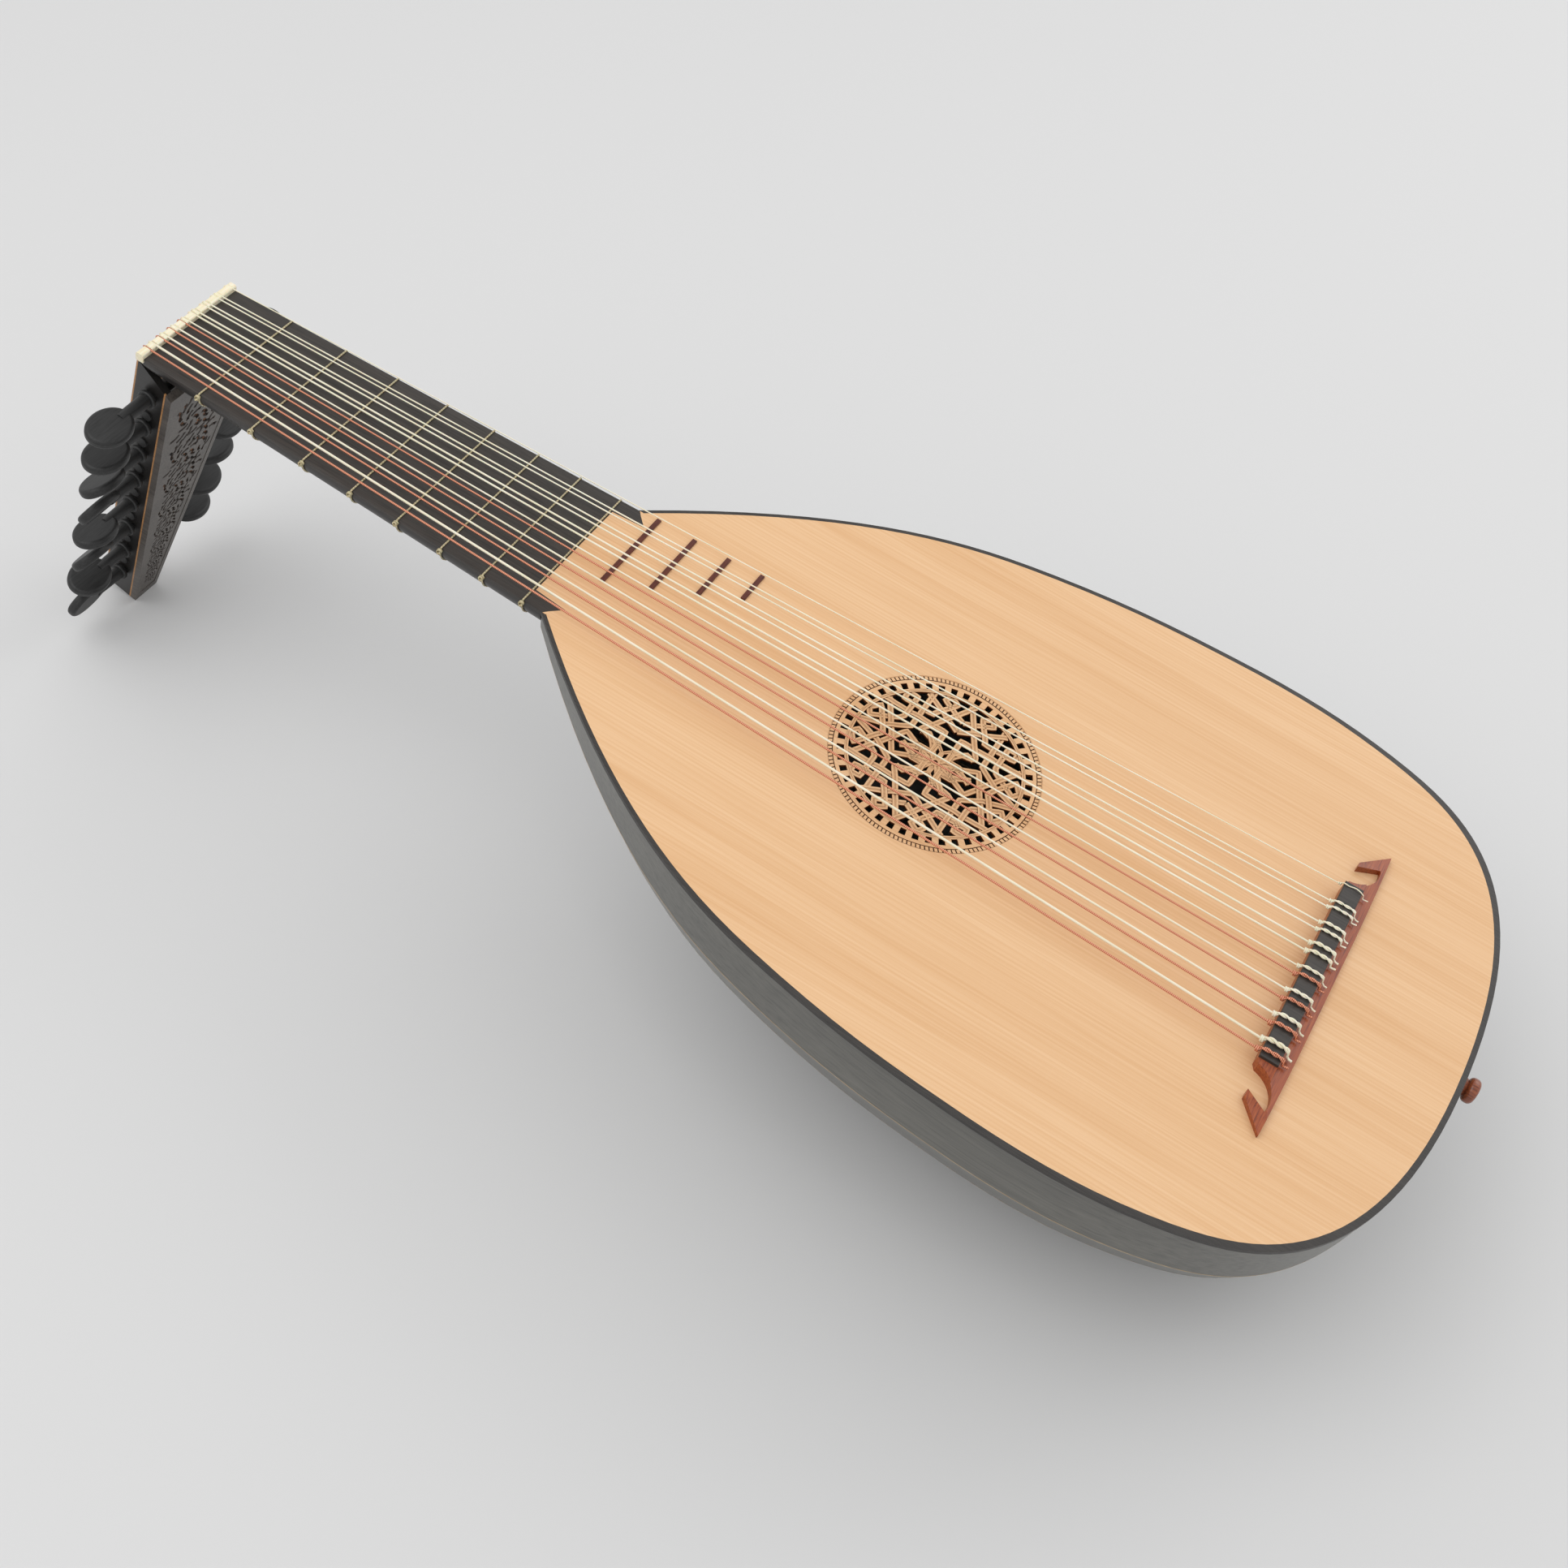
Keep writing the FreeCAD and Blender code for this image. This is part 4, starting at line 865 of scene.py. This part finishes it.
for name, radius, width, top, groove in RINGS:
    parts.append(straps(name, [circle(radius, top)], width, True, groove))
# the bead bed is dark as painted shade showing in the gaps between the beads
parts.append(straps("bead_bed", [circle(48.6, -0.55)], 2.5, True, 0.05, 1.2, bead_gap_shade))
for name, mesh, copies in (("posts", block("post", 41.8, 45.8, -1.5, 1.5, -1.5, -0.12), WINDOWS),
                           ("beads", block("bead", 47.7, 49.5, -0.72, 0.72, -0.9, -0.12, 0.3),
                            BEADS)):
    parts.append(grow(name, round_tree, mesh, {"Copies": copies, "Material": rose_wood}, ROSE))
rose = join("rose_tracery", parts, "lute")
heights = [(LUTE.inverted() @ vertex.co).z for vertex in rose.data.vertices]
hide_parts("rose")
print("rose faces", len(rose.data.polygons))
print("from z", round(min(heights), 2), "to", round(max(heights), 2), "mm")

# %% [markdown]
# ## Carved pegbox back
# The back plate holds a sunk panel of foliage. It is a thin grey-stained plate pierced with many
# small curved slits, in fans about a waving stem, over a ground painted black as the shade in the
# carving's hollows, with light brown patches of painted highlight. One slit is a tapered curve,
# copied with a turn and a size at each point of the fans.
# The copies are a mesh of cutters, and a Boolean modifier takes them out of the plate.

# %% Carved ground and pierced plate
PANEL_FLOOR = 20.9                             # depths from the pegbox's front edge
PANEL_TOP = 21.95
GROUND_T = 0.12
PLATE_GAP = 0.15                               # the plate lies this far over the panel's floor
PEGBOX_L = 224.0
PEGBOX_END_HALF = 8.8                          # half its width at the far end
PANEL_RIM = 3.5                                # left plain at each side of the panel
PANEL_START = 20.6
PANEL_END = 218.4
FAN_FIRST = 28.0                               # down the pegbox, where the first fan stands
SLIT_CLEAR = 1.6                               # a slit stays this far inside the panel's edge
SLIT_HALF = 0.17                               # half a slit's width at its middle, over its length
SLIT_DEPTH = 16.0


def panel_half(s):
    """Half the sunk panel's width, which follows the pegbox's taper."""
    return NUT_HALF + (PEGBOX_END_HALF - NUT_HALF) * s / PEGBOX_L - PANEL_RIM


def panel_block(name, margin, n0, n1):
    """A slab that fills the panel's plan between two depths, less a margin at its ends."""
    slab = block(name, PANEL_START + margin, PANEL_END - margin, -1, 1, n0, n1)
    for vertex in slab.vertices:
        vertex.co.y *= panel_half(vertex.co.x)
    return slab


def make_ground_shade_highlight():
    material, tree, surface = new_material("carved_ground_painted_shade_highlight", 0.7)
    place = maker_mm(tree)
    # painted shade and painted highlight: black for the shade in the carving's hollows, with light
    # brown noise patches standing for lit carving; the specks below are the wood's own
    highlight_noise = add(tree, "ShaderNodeTexNoise", {"Vector": place, "Scale": 0.09,
                                            "Detail": 2.0}).outputs[0]
    shade_and_highlight = add(tree, "ShaderNodeValToRGB", {"Fac": highlight_noise},
                ((0.40, "120f0d"), (0.50, "8a5a3a"), (0.70, "c08a5e"))).outputs[0]
    speck = add(tree, "ShaderNodeTexNoise", {"Vector": place, "Scale": 0.7,
                                             "Detail": 3.0}).outputs[0]
    fleck = add(tree, "ShaderNodeValToRGB", {"Fac": speck},
                ((0.4, "2a211b"), (0.65, "ffffff"))).outputs[0]
    colour = add(tree, "ShaderNodeMix", {0: 1.0, 6: shade_and_highlight, 7: fleck}, data_type="RGBA",
                 blend_type="MULTIPLY").outputs[2]
    tree.links.new(colour, surface.inputs["Base Color"])
    relief = add(tree, "ShaderNodeBump", {"Height": speck, "Distance": 0.2 * MM, "Strength": 1.0})
    tree.links.new(relief.outputs[0], surface.inputs["Normal"])
    return material


def make_slit_tree():
    """Tapered, bowed slits, one at each point, tall enough to go through the plate."""
    tree, sockets = new_tree("slits", {"Width": "Float", "Depth": "Float"})
    slit = add(tree, "GeometryNodeCurveQuadraticBezier", {"Resolution": 5, "Start": (-0.5, 0, 0),
                                                          "Middle": (0.0, 0.3, 0),
                                                          "End": (0.5, 0, 0)}).outputs[0]
    along = add(tree, "GeometryNodeSplineParameter").outputs["Factor"]
    swell = add(tree, "ShaderNodeFloatCurve", {"Value": along})
    curve = swell.mapping.curves[0]
    curve.points[0].location = (0.0, 0.25)
    curve.points[1].location = (1.0, 0.25)
    curve.points.new(0.5, 1.0)
    swell.mapping.update()
    tapered = add(tree, "GeometryNodeSetCurveRadius",
                  {0: slit, "Radius": swell.outputs[0]}).outputs[0]
    ring = add(tree, "GeometryNodeCurvePrimitiveCircle",
               {"Resolution": 6, "Radius": sockets["Width"]}).outputs[0]
    cutter = add(tree, "GeometryNodeCurveToMesh", {"Curve": tapered, "Profile Curve": ring,
                                                   "Fill Caps": True}).outputs[0]
    size = add(tree, "GeometryNodeInputNamedAttribute", {0: "size"}, data_type="FLOAT").outputs[0]
    turn = add(tree, "GeometryNodeInputNamedAttribute", {0: "turn"}, data_type="FLOAT").outputs[0]
    spin = add(tree, "ShaderNodeCombineXYZ", {2: turn}).outputs[0]
    scale = add(tree, "ShaderNodeCombineXYZ", {0: size, 1: size, 2: sockets["Depth"]}).outputs[0]
    copies = add(tree, "GeometryNodeInstanceOnPoints",
                 {"Points": sockets["Geometry"], "Instance": cutter,
                  "Rotation": spin, "Scale": scale}).outputs[0]
    close_tree(tree, sockets, copies)
    return tree


def fan_slits():
    """(s, y, turn, size) of every slit: two arcs of leaves in each fan, and a waving stem."""
    slits = []
    s = FAN_FIRST
    side = 1.0
    while s < PANEL_END - 8.0:
        half = panel_half(s)
        reach = half * 0.62
        centre = (s, side * half * 0.36)
        for share, count in ((0.34, 6), (0.82, 12)):
            for i in range(count):
                angle = 2.0 * math.pi * (i + 0.5 * share) / count
                place = (centre[0] + reach * share * math.cos(angle),
                         centre[1] + reach * share * math.sin(angle))
                slits.append((place[0], place[1], angle + side * 0.5, reach * 0.46))
        for i in range(5):
            place = (s + reach * (0.2 * i - 0.2), -side * half * (0.42 + 0.11 * i))
            slits.append((place[0], place[1], side * (0.5 * i - 1.0), reach * 0.42))
        s += reach * 1.2
        side = -side
    return [slit for slit in slits
            if abs(slit[1]) + slit[3] * 0.5 < panel_half(slit[0]) - SLIT_CLEAR
            and PANEL_START + 3.0 < slit[0] < PANEL_END - 3.0]


# %% Cut the slits
slits = fan_slits()
seeds = bpy.data.meshes.new("slit_seeds")
seeds.from_pydata([(s, y, PANEL_TOP) for s, y, turn, size in slits], [], [])
for name, column in (("turn", 2), ("size", 3)):
    values = seeds.attributes.new(name, "FLOAT", "POINT")
    values.data.foreach_set("value", [slit[column] for slit in slits])
cutters = grow("slit_cutters", make_slit_tree(), seeds,
               {"Width": SLIT_HALF, "Depth": SLIT_DEPTH, "Material": plate_grey}, Matrix())
plate = bpy.data.objects.new("plate", panel_block("plate", 0.2, PANEL_FLOOR + PLATE_GAP, PANEL_TOP))
scene.collection.objects.link(plate)
plate.data.materials.append(plate_grey)
boolean = plate.modifiers.new("slits", "BOOLEAN")
boolean.object = cutters
boolean.use_self = True
graph = bpy.context.evaluated_depsgraph_get()
pierced = bpy.data.meshes.new_from_object(plate.evaluated_get(graph))
pierced.transform(LUTE @ PEGBOX)
bpy.data.objects.remove(plate)
bpy.data.objects.remove(cutters)
foliage = bpy.data.objects.new("carved_foliage", pierced)
scene.collection.objects.link(foliage)
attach(foliage, "lute")

ground = panel_block("ground", 0.1, PANEL_FLOOR, PANEL_FLOOR + GROUND_T)
ground.transform(LUTE @ PEGBOX)
ground.materials.append(make_ground_shade_highlight())
carved_ground = bpy.data.objects.new("carved_ground", ground)
scene.collection.objects.link(carved_ground)
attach(carved_ground, "lute")
print("slits", len(slits), "faces", len(pierced.polygons))

# %% [markdown]
# ## Studio
# A pale seamless floor, an even pale sky and two broad soft lights, one high over the bass side
# and a fainter one behind, so that the bowl keeps a soft sheen and the shadow stays light.

# %% Floor, sky and lights
FLOOR_SIZE = 60.0                              # metres, wider than the camera sees
SKY_STRENGTH = 0.8


def make_floor():
    material, _, surface = new_material("painted_floor", 0.9)
    surface.inputs["Base Color"].default_value = linear("dcdcdc")
    return material


bpy.ops.mesh.primitive_plane_add(size=FLOOR_SIZE, location=(0.0, 0.0, 0.0))
floor = bpy.context.active_object
floor.name = "floor"
floor.data.materials.append(make_floor())

sky = bpy.data.worlds.new("studio")
scene.world = sky
sky.use_nodes = True
sky.node_tree.nodes["Background"].inputs["Color"].default_value = (1.0, 1.0, 1.0, 1.0)
sky.node_tree.nodes["Background"].inputs["Strength"].default_value = SKY_STRENGTH


def area_light(name, place, aim, size, power):
    """A square lamp at place, turned to face aim."""
    light = bpy.data.objects.new(name, bpy.data.lights.new(name, "AREA"))
    scene.collection.objects.link(light)
    light.data.size = size
    light.data.energy = power
    light.location = place
    light.rotation_euler = (Vector(aim) - Vector(place)).to_track_quat("-Z", "Y").to_euler()


area_light("key", (-0.5, -0.7, 1.9), (0.0, 0.0, 0.1), 1.6, 10.0)
area_light("back", (0.9, 1.6, 1.3), (0.0, 0.0, 0.1), 1.4, 7.0)
print("studio ready")
